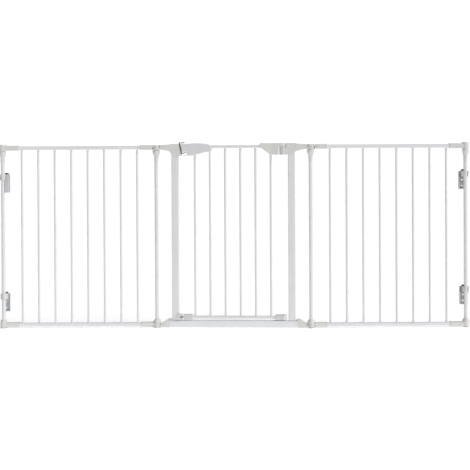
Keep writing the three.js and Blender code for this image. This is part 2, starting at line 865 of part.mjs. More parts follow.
function sidePanel(side) {
  const panel = new THREE.Group();
  const boreTop = jointTop - 3.2;
  piece(panel, `${side}_panel_frame`, panelFrame(), whiteSteel);
  const topEye = [upperRail + gap, jointTop];
  const bottomEye = [lowerLap + gap, domeBase - gap];
  piece(panel, `${side}_inner_top_joint`, innerJoint(upperRail, topEye, [0, boreTop]), whitePlastic);
  piece(panel, `${side}_inner_bottom_joint`, innerJoint(lowerRail, bottomEye, [0, 60]), whitePlastic);
  piece(panel, `${side}_outer_top_joint`, outerJoint(upperRail, upperEndEye()), whitePlastic);
  piece(panel, `${side}_outer_bottom_joint`, lowerOuterJoint(), whitePlastic);
  const postTop = jointTop + 1.5;
  const endPost = roundTube(postRadius, postWall, [footHeight + gap, postTop], sidePitch);
  piece(panel, `${side}_end_post`, endPost, whiteSteel);
  piece(panel, `${side}_end_collar`, collar(endEyeRadius, upperJoint - 2.8, sidePitch), whitePlastic);
  piece(panel, `${side}_end_foot`, foot(endEyeRadius - 0.5, sidePitch), whitePlastic);
  return panel;
}

// ---------------------------------------------------------------- the gate
const gate = new THREE.Group();
centreFrame(gate);
door(gate);

const leftPanel = sidePanel("left");
leftPanel.position.set(-postX, 0, 0);
leftPanel.rotation.z = Math.PI - leftFold;
wallBracket(leftPanel, "left_top_bracket", upperRail - 183, -142, -177);
wallBracket(leftPanel, "left_bottom_bracket", lowerRail + 54.5, -112, -77);
gate.add(leftPanel);

const rightPanel = sidePanel("right");
rightPanel.position.set(postX, 0, 0);
rightPanel.rotation.z = rightFold;
wallBracket(rightPanel, "right_top_bracket", upperRail - 177.5, 114, 94);
wallBracket(rightPanel, "right_bottom_bracket", lowerRail + 78.5, 108, 94);
gate.add(rightPanel);

// The origin is on the floor, under the middle of the gate.
const bounds = new THREE.Box3().setFromObject(gate, true);
const middle = bounds.getCenter(new THREE.Vector3());
gate.position.set(-middle.x, -middle.y, -bounds.min.z);

export default gate;
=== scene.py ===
import json
import math

import bmesh
import bpy
from mathutils import Matrix, Vector

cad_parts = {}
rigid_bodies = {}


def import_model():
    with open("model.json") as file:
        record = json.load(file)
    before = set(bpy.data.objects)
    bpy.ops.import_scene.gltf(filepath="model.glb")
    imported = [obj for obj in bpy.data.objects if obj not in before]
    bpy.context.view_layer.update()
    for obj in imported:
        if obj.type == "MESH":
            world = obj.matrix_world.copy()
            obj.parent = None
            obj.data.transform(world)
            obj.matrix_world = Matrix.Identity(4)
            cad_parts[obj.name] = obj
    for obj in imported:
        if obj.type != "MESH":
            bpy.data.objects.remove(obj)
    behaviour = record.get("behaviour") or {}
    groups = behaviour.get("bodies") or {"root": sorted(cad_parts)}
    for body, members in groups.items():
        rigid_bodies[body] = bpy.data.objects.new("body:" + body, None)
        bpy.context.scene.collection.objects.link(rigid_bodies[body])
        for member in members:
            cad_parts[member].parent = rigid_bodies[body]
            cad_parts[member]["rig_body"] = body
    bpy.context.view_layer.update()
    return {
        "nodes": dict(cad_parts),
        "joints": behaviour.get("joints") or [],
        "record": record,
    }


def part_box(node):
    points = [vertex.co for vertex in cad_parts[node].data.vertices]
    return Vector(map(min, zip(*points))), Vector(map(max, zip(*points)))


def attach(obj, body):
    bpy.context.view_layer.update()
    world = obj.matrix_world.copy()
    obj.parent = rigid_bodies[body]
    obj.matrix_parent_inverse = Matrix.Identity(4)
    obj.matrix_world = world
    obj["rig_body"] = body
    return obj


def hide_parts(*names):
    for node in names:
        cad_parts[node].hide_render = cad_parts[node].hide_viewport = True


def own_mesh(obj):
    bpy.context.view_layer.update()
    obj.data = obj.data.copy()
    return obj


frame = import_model()

# A three-panel safety gate. Shapes are made in millimetres in their own sub-assembly's frame:
# the centre frame and door about the point between the two middle posts, a side panel with x
# running outwards from the post that it folds about, and a bracket about its post or its pin.
MM = 0.001
GAP = 0.3  # between pieces that seat on each other
SIDES = 48  # of a turned piece
THROUGH = (-40, 40)  # front to back of what cuts right through a piece


# ---- sizes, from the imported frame
def middle_of(node):
    low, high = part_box(node)
    return (low + high) / 2


POSTS = [middle_of(side + "_post") for side in ("left", "right")]
ORIGIN = Vector(((POSTS[0].x + POSTS[1].x) / 2, (POSTS[0].y + POSTS[1].y) / 2, 0))


def corners(node):
    """A node's lowest and highest corner, in millimetres from the middle of the gate."""
    low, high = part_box(node)
    return (low - ORIGIN) / MM, (high - ORIGIN) / MM


def named(items, name):
    return next(item for item in items if item["name"] == name)


def joint_at(name):
    return Vector(named(frame["joints"], name)["pos_m"])


def wall_normal(mount_name):
    return Vector(named(frame["record"]["mounts"], mount_name)["axis"])


post_low, post_high = corners("right_post")
POST_X = (post_low.x + post_high.x) / 2
POST_RADIUS = (post_high.x - post_low.x) / 2
POST_TOP = post_high.z
POST_WALL = 1.2
BORE = POST_RADIUS + GAP
FOOT_HEIGHT = post_low.z - GAP

upright_low, upright_high = corners("right_upright")
JAMB = upright_low.x
UPRIGHT_X = (upright_low.x + upright_high.x) / 2
UPRIGHT_WIDTH = upright_high.x - upright_low.x
UPRIGHT_DEPTH = upright_high.y - upright_low.y
UPRIGHT_TOP = upright_high.z

bar_low, bar_high = corners("threshold_bar")
THRESHOLD_END = bar_high.x
THRESHOLD_LIFT = bar_low.z
SILL = bar_high.z
THRESHOLD_MIDDLE = (THRESHOLD_LIFT + SILL) / 2

upper_low, upper_high = corners("right_inner_top_joint")
UPPER_JOINT = upper_low.z
JOINT_TOP = upper_high.z
JOINT_HEIGHT = JOINT_TOP - UPPER_JOINT
UPPER_RAIL = (UPPER_JOINT + JOINT_TOP) / 2
LOWER_JOINT = corners("right_inner_bottom_joint")[0].z
LOWER_RAIL = LOWER_JOINT + JOINT_HEIGHT / 2
LOWER_LAP = LOWER_JOINT + 8
DOME_BASE, DOME_TOP = (corner.z for corner in corners("right_post_dome"))
EYE_RADIUS = (corners("right_post_dome")[1].x - corners("right_post_dome")[0].x) / 2
END_EYE_RADIUS = POST_RADIUS + 6
SHOULDER = EYE_RADIUS + 0.8
JOINT_DEPTH = 24
JOINT_HALF = JOINT_DEPTH / 2
JOINT_SIDES = (-JOINT_HALF, JOINT_HALF)
JOINT_REACH = 66
RAIL_INSERTION = 40  # of a side rail into its joint

CAP_TOP = corners("latch_corner_cap")[1].z
CAP_FOOT = corners("latch_corner_cap")[0].z
HINGE_X = (joint_at("door_swing").x - ORIGIN.x) / MM
HINGE = (HINGE_X, 0)
HINGE_SPLIT = CAP_TOP - 16.2
HINGE_CLEARANCE = 0.4  # from the split to the faces that turn on each other
SWING_CLEARANCE = 0.8  # of the door's knuckles from the hinge cap
KNUCKLE_RADIUS = 14
PIN_RADIUS = 4
PIN_BORE = PIN_RADIUS + GAP
CATCH_PIN_RADIUS = 3.5

door_low, door_high = corners("door_frame")
DOOR_RAIL_HEIGHT = 12
RAIL_HEIGHT = 15
RAIL_DEPTH = door_high.y - door_low.y
DOOR_RAIL = door_high.z - DOOR_RAIL_HEIGHT / 2
DOOR_SILL_RAIL = door_low.z + DOOR_RAIL_HEIGHT / 2
TUBE_WALL = 1.5
BAR_RADIUS = 4.75
SIDE_BARS = 8
DOOR_BARS = 6
FIRST_SIDE_BAR = JOINT_REACH + 13.3
FIRST_DOOR_BAR = -(JAMB - 67)
LAST_DOOR_BAR = JAMB - 70.5
DOOR_BAR_PITCH = (LAST_DOOR_BAR - FIRST_DOOR_BAR) / (DOOR_BARS - 1)
RAIL_HALF = RAIL_DEPTH / 2 + GAP

HANDLE_DEPTH = corners("handle_back")[1].y
COVER_DEPTH = corners("hinge_cover_back")[1].y
SHELL_WALL = 2.5
CATCH_LEVEL = SILL + 14
STRIKE_LEAN = 0.23
STRIKE_THICKNESS = 2.5


def strike_face(z):
    """How far out the latch cap's leaning face lies at a level."""
    return JAMB - 1.5 - (CAP_TOP - z) * STRIKE_LEAN


def handle_end(z):
    return -strike_face(z) + 5.6


def door_bar_x(i):
    return FIRST_DOOR_BAR + i * DOOR_BAR_PITCH


HANDLE_RIGHT = corners("handle_back")[1].x
HANDLE_TOP = corners("handle_back")[1].z
SLOT = (CAP_FOOT + 5, CAP_FOOT + 18.5)  # levels of the slot for the strike's lower lip
SLOT_END = -JAMB + 35
BOLT = (CAP_FOOT + 21.8, CAP_FOOT + 30.4)  # levels of the latch bolt
THUMB_PAD = (FIRST_DOOR_BAR - 14, FIRST_DOOR_BAR + 18)
THUMB_TRAVEL = 10
PAD_HALF = 7
YOKE_HALF = 13
SPRING_SEAT = FIRST_DOOR_BAR + 12
SPRING_STOP = SPRING_SEAT + 28

BRACKET_HEIGHT = 74
BRACKET_WIDTH = 34
BRACKET_THICKNESS = 2
BRACKET_PIN_RADIUS = 3
CLIP = (BRACKET_HEIGHT - 23, BRACKET_HEIGHT + 1)  # levels of the clip above the channel's foot
WEB = 9.2  # bracket pin's axis to the inside of the channel's web
ABOVE_BRACKET = 200


# ---- outlines
def arc(x, y, radius, start, end, steps=8):
    angles = [math.radians(start + (end - start) * i / steps) for i in range(steps + 1)]
    return [(x + radius * math.cos(a), y + radius * math.sin(a)) for a in angles]


def anticlockwise(points):
    pairs = zip(points, points[1:] + points[:1])
    area = sum(a[0] * b[1] - b[0] * a[1] for a, b in pairs)
    return points if area > 0 else points[::-1]


def beside(x, z, offsets):
    """Points, or corners with a radius, that are given from (x, z)."""
    return [(x + offset[0], z + offset[1], *offset[2:]) for offset in offsets]


def signed(sign, *values):
    """Values on one side of the middle, lowest first."""
    return sorted(sign * value for value in values)


def fillet(points, radius, steps=5, closed=True):
    """A line with its corners rounded. The radius is one number, or one for each corner."""
    radii = radius if isinstance(radius, (list, tuple)) else [radius] * len(points)
    made = []
    for i, (point, wanted) in enumerate(zip(points, radii)):
        corner = Vector(point)
        to_last = Vector(points[i - 1]) - corner
        to_next = Vector(points[(i + 1) % len(points)]) - corner
        is_end = not closed and i in (0, len(points) - 1)
        spread = 0 if is_end else to_last.angle(to_next)
        if is_end or wanted <= 0 or spread > math.radians(177):
            made.append(tuple(corner))
            continue
        reach = min(wanted / math.tan(spread / 2), 0.49 * to_last.length, 0.49 * to_next.length)
        to_last.normalize()
        to_next.normalize()
        bend = reach * math.tan(spread / 2)
        centre = corner + (to_last + to_next).normalized() * (bend / math.sin(spread / 2))
        start = corner + to_last * reach - centre
        end = corner + to_next * reach - centre
        turned_by = start.angle_signed(end)
        for step in range(steps + 1):
            made.append(tuple(centre + Matrix.Rotation(-turned_by * step / steps, 2) @ start))
    return made


def inset(points, distance):
    """The outline that lies inside an anticlockwise one by a distance."""
    if not distance:
        return list(points)
    lines = []
    for i, point in enumerate(points):
        start = Vector(point)
        along = (Vector(points[(i + 1) % len(points)]) - start).normalized()
        lines.append((start + Vector((-along.y, along.x)) * distance, along))
    made = []
    for i, (start, along) in enumerate(lines):
        last_start, last_along = lines[i - 1]
        cross = last_along.x * along.y - last_along.y * along.x
        if abs(cross) < 1e-5:
            made.append(tuple(start))
            continue
        between = start - last_start
        share = (between.x * along.y - between.y * along.x) / cross
        made.append(tuple(last_start + last_along * share))
    return made


def curve_through(points, steps=5):
    """An open line made smooth, through its points."""
    line = [Vector(point) for point in points]
    made = []
    for i, (start, end) in enumerate(zip(line, line[1:])):
        pull = (end - line[max(i - 1, 0)]) / 2
        push = (line[min(i + 2, len(line) - 1)] - start) / 2
        for step in range(steps):
            t = step / steps
            point = start * (2 * t**3 - 3 * t**2 + 1) + pull * (t**3 - 2 * t**2 + t)
            point += end * (3 * t**2 - 2 * t**3)
            point += push * (t**3 - t**2)
            made.append(tuple(point))
    return made + [tuple(line[-1])]


def strip(line, thickness):
    """The outline of a strip of sheet metal along an open line."""
    sides = []
    for sign in (-1, 1):
        side = []
        for i, point in enumerate(line):
            along = Vector(line[min(i + 1, len(line) - 1)]) - Vector(line[max(i - 1, 0)])
            across = Vector((-along.y, along.x)).normalized() * sign * thickness / 2
            side.append(tuple(Vector(point) + across))
        sides.append(side)
    return anticlockwise(sides[0] + sides[1][::-1])


def rounded_rectangle(width, height, radius, x=0.0, y=0.0):
    w, h = width / 2 - radius, height / 2 - radius
    made = []
    for i, (u, v) in enumerate(((w, h), (-w, h), (-w, -h), (w, -h))):
        made += arc(x + u, y + v, radius, 90 * i, 90 * i + 90, 6)
    return made


# ---- solids
def shape(vertices, faces):
    """A closed mesh object in millimetres, with its faces pointing out."""
    mesh = bpy.data.meshes.new("shape")
    mesh.from_pydata(vertices, [], faces)
    made = bmesh.new()
    made.from_mesh(mesh)
    bmesh.ops.remove_doubles(made, verts=made.verts, dist=1e-4)
    bmesh.ops.recalc_face_normals(made, faces=made.faces)
    made.to_mesh(mesh)
    made.free()
    shown = bpy.data.objects.new("shape", mesh)
    bpy.context.scene.collection.objects.link(shown)
    return shown


def skin(rings, closed=False):
    """A surface over rings of points: capped at both ends, or joined end to end."""
    count = len(rings[0])
    vertices = [point for ring in rings for point in ring]
    faces = []
    for i in range(len(rings) if closed else len(rings) - 1):
        a, b = i * count, ((i + 1) % len(rings)) * count
        for j in range(count):
            k = (j + 1) % count
            faces.append((a + j, a + k, b + k, b + j))
    if not closed:
        faces.append(tuple(range(count))[::-1])
        faces.append(tuple(range(len(vertices) - count, len(vertices))))
    return shape(vertices, faces)


def raised(points, level, axis):
    """An outline's points in space, at a level along the axis that it is extruded on."""
    if axis == "x":
        return [(level, u, v) for u, v in points]
    if axis == "y":
        return [(u, level, v) for u, v in points]
    return [(u, v, level) for u, v in points]


def rounding(edge, steps):
    """How far in and how far along each ring of a rounded edge lies, from the end face."""
    if not edge:
        return [(0, 0)]
    angles = [math.pi / 2 * i / steps for i in range(steps + 1)]
    return [(edge * (1 - math.sin(a)), edge * (1 - math.cos(a))) for a in angles]


def prism(outline, low, high, axis="y", edges=(1.2, 1.2), steps=3, shrunk=inset):
    """An extruded outline whose two end faces have rounded edges."""
    outline = anticlockwise(outline)
    rings = [raised(shrunk(outline, d), low + r, axis) for d, r in rounding(edges[0], steps)]
    far = [raised(shrunk(outline, d), high - r, axis) for d, r in rounding(edges[1], steps)]
    return skin(rings + far[::-1])


def drawn_in(outline, distance):
    """Sharp corners (u, v, radius) moved in by a distance, and only then rounded."""
    flat = [Vector(corner[:2]) for corner in outline]
    radii = []
    for i, (_, _, radius) in enumerate(outline):
        bends_out = (flat[i] - flat[i - 1]).cross(flat[(i + 1) % len(flat)] - flat[i]) > 0
        left = radius - distance if bends_out else radius + distance
        radii.append(max(left, 0.3) if radius else 0)
    return fillet(inset(flat, distance), radii, 5)


def moulding(outline, low, high, edges, wall=0.0, steps=6):
    """A prism along y from sharp corners (x, z, radius). Wide edges don't fold over at a corner."""
    return prism(outline, low, high, "y", edges, steps, lambda sharp, d: drawn_in(sharp, wall + d))


def tube(outline, wall, low, high, axis, edge=0.4):
    rings = [(edge, low), (0, low + edge), (0, high - edge), (edge, high), (wall, high), (wall, low)]
    return skin([raised(inset(outline, d), level, axis) for d, level in rings], closed=True)


def turned(profile, at=(0, 0), axis="z", sides=SIDES):
    """A solid of revolution from a closed profile of (radius, level) points."""
    rings = []
    for radius, level in profile:
        circle = arc(at[0], at[1], max(radius, 0), 0, 360, sides)[:-1]
        rings.append(raised(circle, level, axis))
    solid_core = profile[0][0] < 1e-6 and profile[-1][0] < 1e-6
    return skin(rings, closed=not solid_core)


def rod(radius, low, high, at=(0, 0), axis="z", edge=0.0, sides=SIDES):
    near = [(radius - d, low + r) for d, r in rounding(edge, 2)]
    far = [(radius - d, high - r) for d, r in rounding(edge, 2)]
    return turned([(0, low), *near, *far[::-1], (0, high)], at, axis, sides)


def round_tube(radius, wall, low, high, at=(0, 0)):
    edge = 0.35
    outer = [(radius - edge, low), (radius, low + edge), (radius, high - edge), (radius - edge, high)]
    return turned(outer + [(radius - wall, high), (radius - wall, low)], at)


def block(xs, ys, zs, edge=0.0):
    outline = [(xs[0], ys[0]), (xs[1], ys[0]), (xs[1], ys[1]), (xs[0], ys[1])]
    if edge:
        outline = fillet(outline, edge * 1.05, 3)
    return prism(outline, zs[0], zs[1], "z", (edge, edge))


def gathered(*shapes):
    """Several solids as one object. They keep their own surfaces."""
    made = bmesh.new()
    for part in shapes:
        made.from_mesh(part.data)
    base = shapes[0]
    made.to_mesh(base.data)
    made.free()
    for part in shapes[1:]:
        bpy.data.objects.remove(part)
    return base


def applied(made):
    """An object with its modifiers turned into its mesh."""
    ready = made.evaluated_get(bpy.context.evaluated_depsgraph_get())
    mesh = bpy.data.meshes.new_from_object(ready)
    made.modifiers.clear()
    made.data = mesh
    return made


def combined(operation, base, tools):
    for tool in tools:
        modifier = base.modifiers.new("combine", "BOOLEAN")
        modifier.operation = operation
        modifier.solver = "MANIFOLD"
        modifier.object = tool
    applied(base)
    for tool in tools:
        bpy.data.objects.remove(tool)
    return base


def join(base, *tools):
    return combined("UNION", base, tools)


def cut(base, *tools):
    return combined("DIFFERENCE", base, tools)


# ---- materials
class Finish:
    """A node material, with short ways to add the nodes that all the finishes share."""

    def __init__(self, name, colour):
        self.colour = colour
        self.material = bpy.data.materials.new(name)
        self.material.use_nodes = True
        self.nodes = self.material.node_tree.nodes
        self.links = self.material.node_tree.links
        self.shader = self.nodes["Principled BSDF"]
        self.place = self.nodes.new("ShaderNodeTexCoord").outputs["Object"]

    def node(self, kind, values, links):
        """A new node, with values and links on its named inputs."""
        made = self.nodes.new("ShaderNode" + kind)
        for socket, value in values.items():
            made.inputs[socket].default_value = value
        for socket, source in links.items():
            self.links.new(source, made.inputs[socket])
        return made

    def stretched(self, scale):
        return self.node("Mapping", {"Scale": scale}, {"Vector": self.place}).outputs["Vector"]

    def noise(self, scale, detail=3.0, place=None):
        values = {"Scale": scale, "Detail": detail}
        return self.node("TexNoise", values, {"Vector": place or self.place}).outputs["Fac"]

    def grains(self, scale):
        return self.node("TexVoronoi", {"Scale": scale}, {"Vector": self.place}).outputs["Color"]

    def ranged(self, value, low, high, start=0.3, end=0.7):
        values = {"From Min": start, "From Max": end, "To Min": low, "To Max": high}
        return self.node("MapRange", values, {"Value": value}).outputs["Result"]

    def shades(self, value, dark, light, start=0.3, end=0.7):
        """The finish's colour, from a darker to a lighter share of it."""
        ramp = self.nodes.new("ShaderNodeValToRGB")
        for element, position, share in zip(ramp.color_ramp.elements, (start, end), (dark, light)):
            element.position = position
            element.color = (*(min(channel * share, 1) for channel in self.colour), 1)
        self.links.new(value, ramp.inputs["Fac"])
        return ramp.outputs["Color"]

    def blended(self, kind, share, first, second):
        mix = self.nodes.new("ShaderNodeMix")
        mix.data_type = "RGBA"
        mix.blend_type = kind
        mix.inputs["Factor"].default_value = share
        self.links.new(first, mix.inputs["A"])
        self.links.new(second, mix.inputs["B"])
        return mix.outputs["Result"]

    def bump(self, height, strength, distance, under=None):
        links = {"Height": height, "Normal": under} if under else {"Height": height}
        return self.node("Bump", {"Strength": strength, "Distance": distance}, links).outputs["Normal"]

    def surface(self, colour, roughness, normal, **uniform):
        self.links.new(colour, self.shader.inputs["Base Color"])
        self.links.new(roughness, self.shader.inputs["Roughness"])
        self.links.new(normal, self.shader.inputs["Normal"])
        for socket, value in uniform.items():
            self.shader.inputs[socket.replace("_", " ")].default_value = value
        return self.material


def powder_coat(name, colour):
    """White powder coat on steel: orange peel, slight thick and thin patches, low gloss."""
    finish = Finish(name, colour)
    patches = finish.noise(14, 4)
    peel = finish.noise(650, 2)
    tint = finish.shades(patches, 0.96, 0.995)
    specks = finish.shades(finish.noise(1800, 1), 0.94, 1, 0.27, 0.36)
    roughness = finish.ranged(finish.noise(90, 3), 0.3, 0.43)
    normal = finish.bump(peel, 0.22, 0.0002)
    mixed = finish.blended("MULTIPLY", 0.35, tint, specks)
    return finish.surface(mixed, roughness, normal, Coat_Weight=0.12, Coat_Roughness=0.2)


def moulded(name, colour, grain):
    """Moulded plastic: a spark-eroded grain, faint flow marks, satin."""
    finish = Finish(name, colour)
    flow = finish.noise(26, 5, finish.stretched((1, 1, 0.35)))
    tint = finish.shades(flow, 0.91, 0.97)
    clouds = finish.shades(finish.noise(160, 2), 0.985, 1)
    roughness = finish.ranged(finish.noise(420, 3), 0.42, 0.6)
    coarse = finish.bump(finish.noise(grain / 5, 2), 0.1, 0.0002)
    normal = finish.bump(finish.noise(grain, 3), 0.35, 0.0001, coarse)
    mixed = finish.blended("MULTIPLY", 0.3, tint, clouds)
    return finish.surface(mixed, roughness, normal, Specular_IOR_Level=0.42)


def zinc_plate(name, colour):
    """Bright zinc plate: small spangles, drawing streaks and a little uneven gloss."""
    finish = Finish(name, colour)
    spangle = finish.shades(finish.grains(260), 0.84, 1.06, 0.1, 0.9)
    streaks = finish.noise(1, 4, finish.stretched((1500, 1500, 60)))
    drawn = finish.shades(streaks, 0.86, 1.04)
    roughness = finish.ranged(finish.noise(130, 4), 0.3, 0.5)
    normal = finish.bump(streaks, 0.16, 0.0001)
    return finish.surface(finish.blended("MIX", 0.55, spangle, drawn), roughness, normal, Metallic=0.5)


def burnished(name, colour):
    """Dark burnished steel: brushed along its length, rubbed brighter in patches."""
    finish = Finish(name, colour)
    streaks = finish.noise(1, 5, finish.stretched((240, 1900, 240)))
    brushed = finish.shades(streaks, 0.32, 0.6)
    rubbed = finish.shades(finish.noise(95, 5), 0.4, 0.9, 0.45, 0.75)
    roughness = finish.ranged(finish.noise(180, 3), 0.38, 0.6)
    normal = finish.bump(streaks, 0.25, 0.0001)
    return finish.surface(finish.blended("MIX", 0.4, brushed, rubbed), roughness, normal, Metallic=0.6)


COLOURS = {slot["slot"]: tuple(slot["base_color"]) for slot in frame["record"]["materials"]}
FINISHES = {
    "white_steel": powder_coat("white_powder_coat", COLOURS["white_steel"]),
    "white_plastic": moulded("warm_white_plastic", COLOURS["white_plastic"], 2600),
    "handle_plastic": moulded("cool_white_plastic", COLOURS["handle_plastic"], 3200),
    "zinc_steel": zinc_plate("bright_zinc", COLOURS["zinc_steel"]),
    "dark_steel": burnished("burnished_steel", COLOURS["dark_steel"]),
}

CENTRE = Matrix.Translation(ORIGIN) @ Matrix.Scale(MM, 4)


def standing(at, level, along):
    """An upright place at a level, whose x axis points along a direction."""
    turn = Matrix.Rotation(math.atan2(along.y, along.x), 4, "Z")
    return Matrix.Translation((at.x, at.y, level)) @ turn @ Matrix.Scale(MM, 4)


def finished(name, made, slot, place):
    """Puts a solid in its place in metres, with its material and smooth shading."""
    made.name = name
    made.data.name = name
    made.data.materials.clear()
    made.data.materials.append(FINISHES[slot])
    made.data.transform(place)
    made.data.shade_smooth()
    made.data.set_sharp_from_angle(angle=math.radians(33))
    weighted = made.modifiers.new("even_shading", "WEIGHTED_NORMAL")
    weighted.keep_sharp = True
    applied(made)
    return made


def stand_for(node, made, slot="white_plastic", place=CENTRE):
    """A detailed piece that is shown in place of a CAD node, and rides on its body."""
    piece = finished(node + "_detail", made, slot, place)
    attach(piece, frame["nodes"][node]["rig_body"])
    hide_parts(node)


def extra(name, made, slot, body, place=CENTRE):
    """A small piece that the CAD model leaves out."""
    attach(finished(name, made, slot, place), body)


# ---- posts
def post_bore(low, high, x=0.0):
    return rod(BORE, low, high, (x, 0))


def collar(radius, top, x):
    """The egg-shaped collar under an upper joint, and its sleeve down the post."""
    sleeve = POST_RADIUS + 0.9
    side = [
        *beside(sleeve, top, [(0, -33), (0.3, -28), (1.7, -23)]),
        *beside(radius, top, [(-2.1, -17.5), (-0.5, -12), (0, -7.5), (-1.3, -2.6), (-4.2, 0)]),
    ]
    sleeve_end = [(BORE, top - 48), (sleeve - 0.4, top - 48)]
    return turned([*sleeve_end, *curve_through(side, 6), (BORE, top)], (x, 0))


def foot(radius, x):
    """A round foot with a plug up into the post."""
    plug = POST_RADIUS - POST_WALL - GAP
    disc = [
        (0, 0),
        *beside(radius, 0, [(-1.4, 0), (-0.4, 0.4), (0, 1.1)]),
        *beside(radius, FOOT_HEIGHT, [(0, -1.1), (-0.4, -0.3), (-1.2, 0)]),
    ]
    stem = beside(plug, FOOT_HEIGHT, [(0, 0), (0, 18), (-1, 20)])
    return turned([*disc, *stem, (0, FOOT_HEIGHT + 20)], (x, 0))


def dome(x):
    """The domed cover over the lower eyes, round the foot of a post."""
    rim_and_groove = [(-0.8, 0), (0, 0.7), (0, 1.5), (-0.5, 1.7), (-0.5, 2.1)]
    side = [
        *beside(EYE_RADIUS, DOME_BASE, [(0, 2.4), (-0.5, 7), (-2.3, 11.5)]),
        *beside(POST_RADIUS, DOME_TOP, [(2.4, -3), (1.1, -0.4)]),
    ]
    foot_line = [(BORE, DOME_BASE), *beside(EYE_RADIUS, DOME_BASE, rim_and_groove)]
    head = [(POST_RADIUS + 0.7, DOME_TOP), (BORE, DOME_TOP)]
    return turned([*foot_line, *curve_through(side), *head], (x, 0))


def middle_post(side, x):
    tube_of_post = round_tube(POST_RADIUS, POST_WALL, post_low.z, POST_TOP, (x, 0))
    stand_for(side + "_post", tube_of_post, "white_steel")
    stand_for(side + "_post_collar", collar(EYE_RADIUS, UPPER_JOINT - 0.8, x))
    stand_for(side + "_post_dome", dome(x))
    stand_for(side + "_post_foot", foot(EYE_RADIUS - 1, x))


# ---- centre frame
def eye(radius, low, high, x=0.0):
    return rod(radius, low, high, (x, 0), edge=0.9)


def centre_eye(sign, low, high):
    """The eye of a centre piece about a middle post, and the neck that carries it."""
    neck = signed(sign, POST_X - SHOULDER - 4, POST_X)
    arm = block(neck, JOINT_SIDES, (low, high), 0.9)
    return eye(EYE_RADIUS, low, high, sign * POST_X), arm


def smooth(points):
    """Points of a curve as corners that stay as they are."""
    return [(*point, 0) for point in points]


def corner_cap(sign, outline, *extras):
    """A corner cap: a moulded plate with the eye about the post and the socket for the upright."""
    placed = [(sign * u, z, radius) for u, z, radius in outline]
    body = moulding(placed, *JOINT_SIDES, (2.6, 2.6))
    join(body, *centre_eye(sign, UPPER_JOINT, UPPER_RAIL - GAP), *extras)
    socket = signed(sign, JAMB - GAP, JAMB + UPRIGHT_WIDTH + GAP)
    half = UPRIGHT_DEPTH / 2 + GAP
    return cut(
        body,
        block(socket, (-half, half), (CAP_FOOT - 20, UPRIGHT_TOP + GAP)),
        post_bore(UPPER_JOINT - 1, JOINT_TOP, sign * POST_X),
    )


def latch_cap():
    neck = POST_X - SHOULDER
    outer = JAMB + UPRIGHT_WIDTH + 2.5
    rise = UPPER_JOINT - CAP_FOOT - 12
    hollow = arc(0, 0, 1, 180, 90, 14)[:-1]
    underside = [(outer + (neck - outer) * (1 + a), CAP_FOOT + 12 + rise * b) for a, b in hollow]
    outline = [
        (neck, JOINT_TOP, 3),
        (UPRIGHT_X + 34, JOINT_TOP + 0.9, 60),
        (UPRIGHT_X + 4, CAP_TOP, 40),
        (strike_face(CAP_TOP), CAP_TOP, 2.8),
        (strike_face(CAP_FOOT + 2), CAP_FOOT, 3.4),
        (JAMB + 2, CAP_FOOT, 14),
        (outer, CAP_FOOT + 8, 3),
        *smooth(underside),
        (neck, UPPER_JOINT, 2),
    ]
    return corner_cap(-1, outline)


def hinge_cap():
    neck = POST_X - SHOULDER
    knuckle = (CAP_FOOT + 3, HINGE_SPLIT - HINGE_CLEARANCE)
    clear_of_door = HINGE_X + KNUCKLE_RADIUS + SWING_CLEARANCE
    underside = [
        *beside(UPRIGHT_X, knuckle[0], [(2, 2.5), (9, 6.5)]),
        (UPRIGHT_X + 19, CAP_FOOT + 16.5),
        *beside(neck, UPPER_JOINT, [(-20, -3), (-8, -0.3)]),
    ]
    outline = [
        *smooth(curve_through(underside)),
        (neck, UPPER_JOINT, 2),
        (neck, JOINT_TOP, 3),
        (UPRIGHT_X + 32, JOINT_TOP + 1.2, 60),
        (UPRIGHT_X + 10, CAP_TOP, 30),
        (clear_of_door, CAP_TOP, 3.4),
        (clear_of_door, knuckle[0], 2.8),
        (UPRIGHT_X - 6, knuckle[0], 12),
    ]
    round_knuckle = rod(KNUCKLE_RADIUS, *knuckle, HINGE, edge=1.2)
    arm = block((HINGE_X, JAMB + 5), JOINT_SIDES, knuckle, 1.0)
    made = corner_cap(1, outline, round_knuckle, arm)
    return cut(made, rod(PIN_BORE, CAP_FOOT + 12.2, CAP_TOP + 1, HINGE))


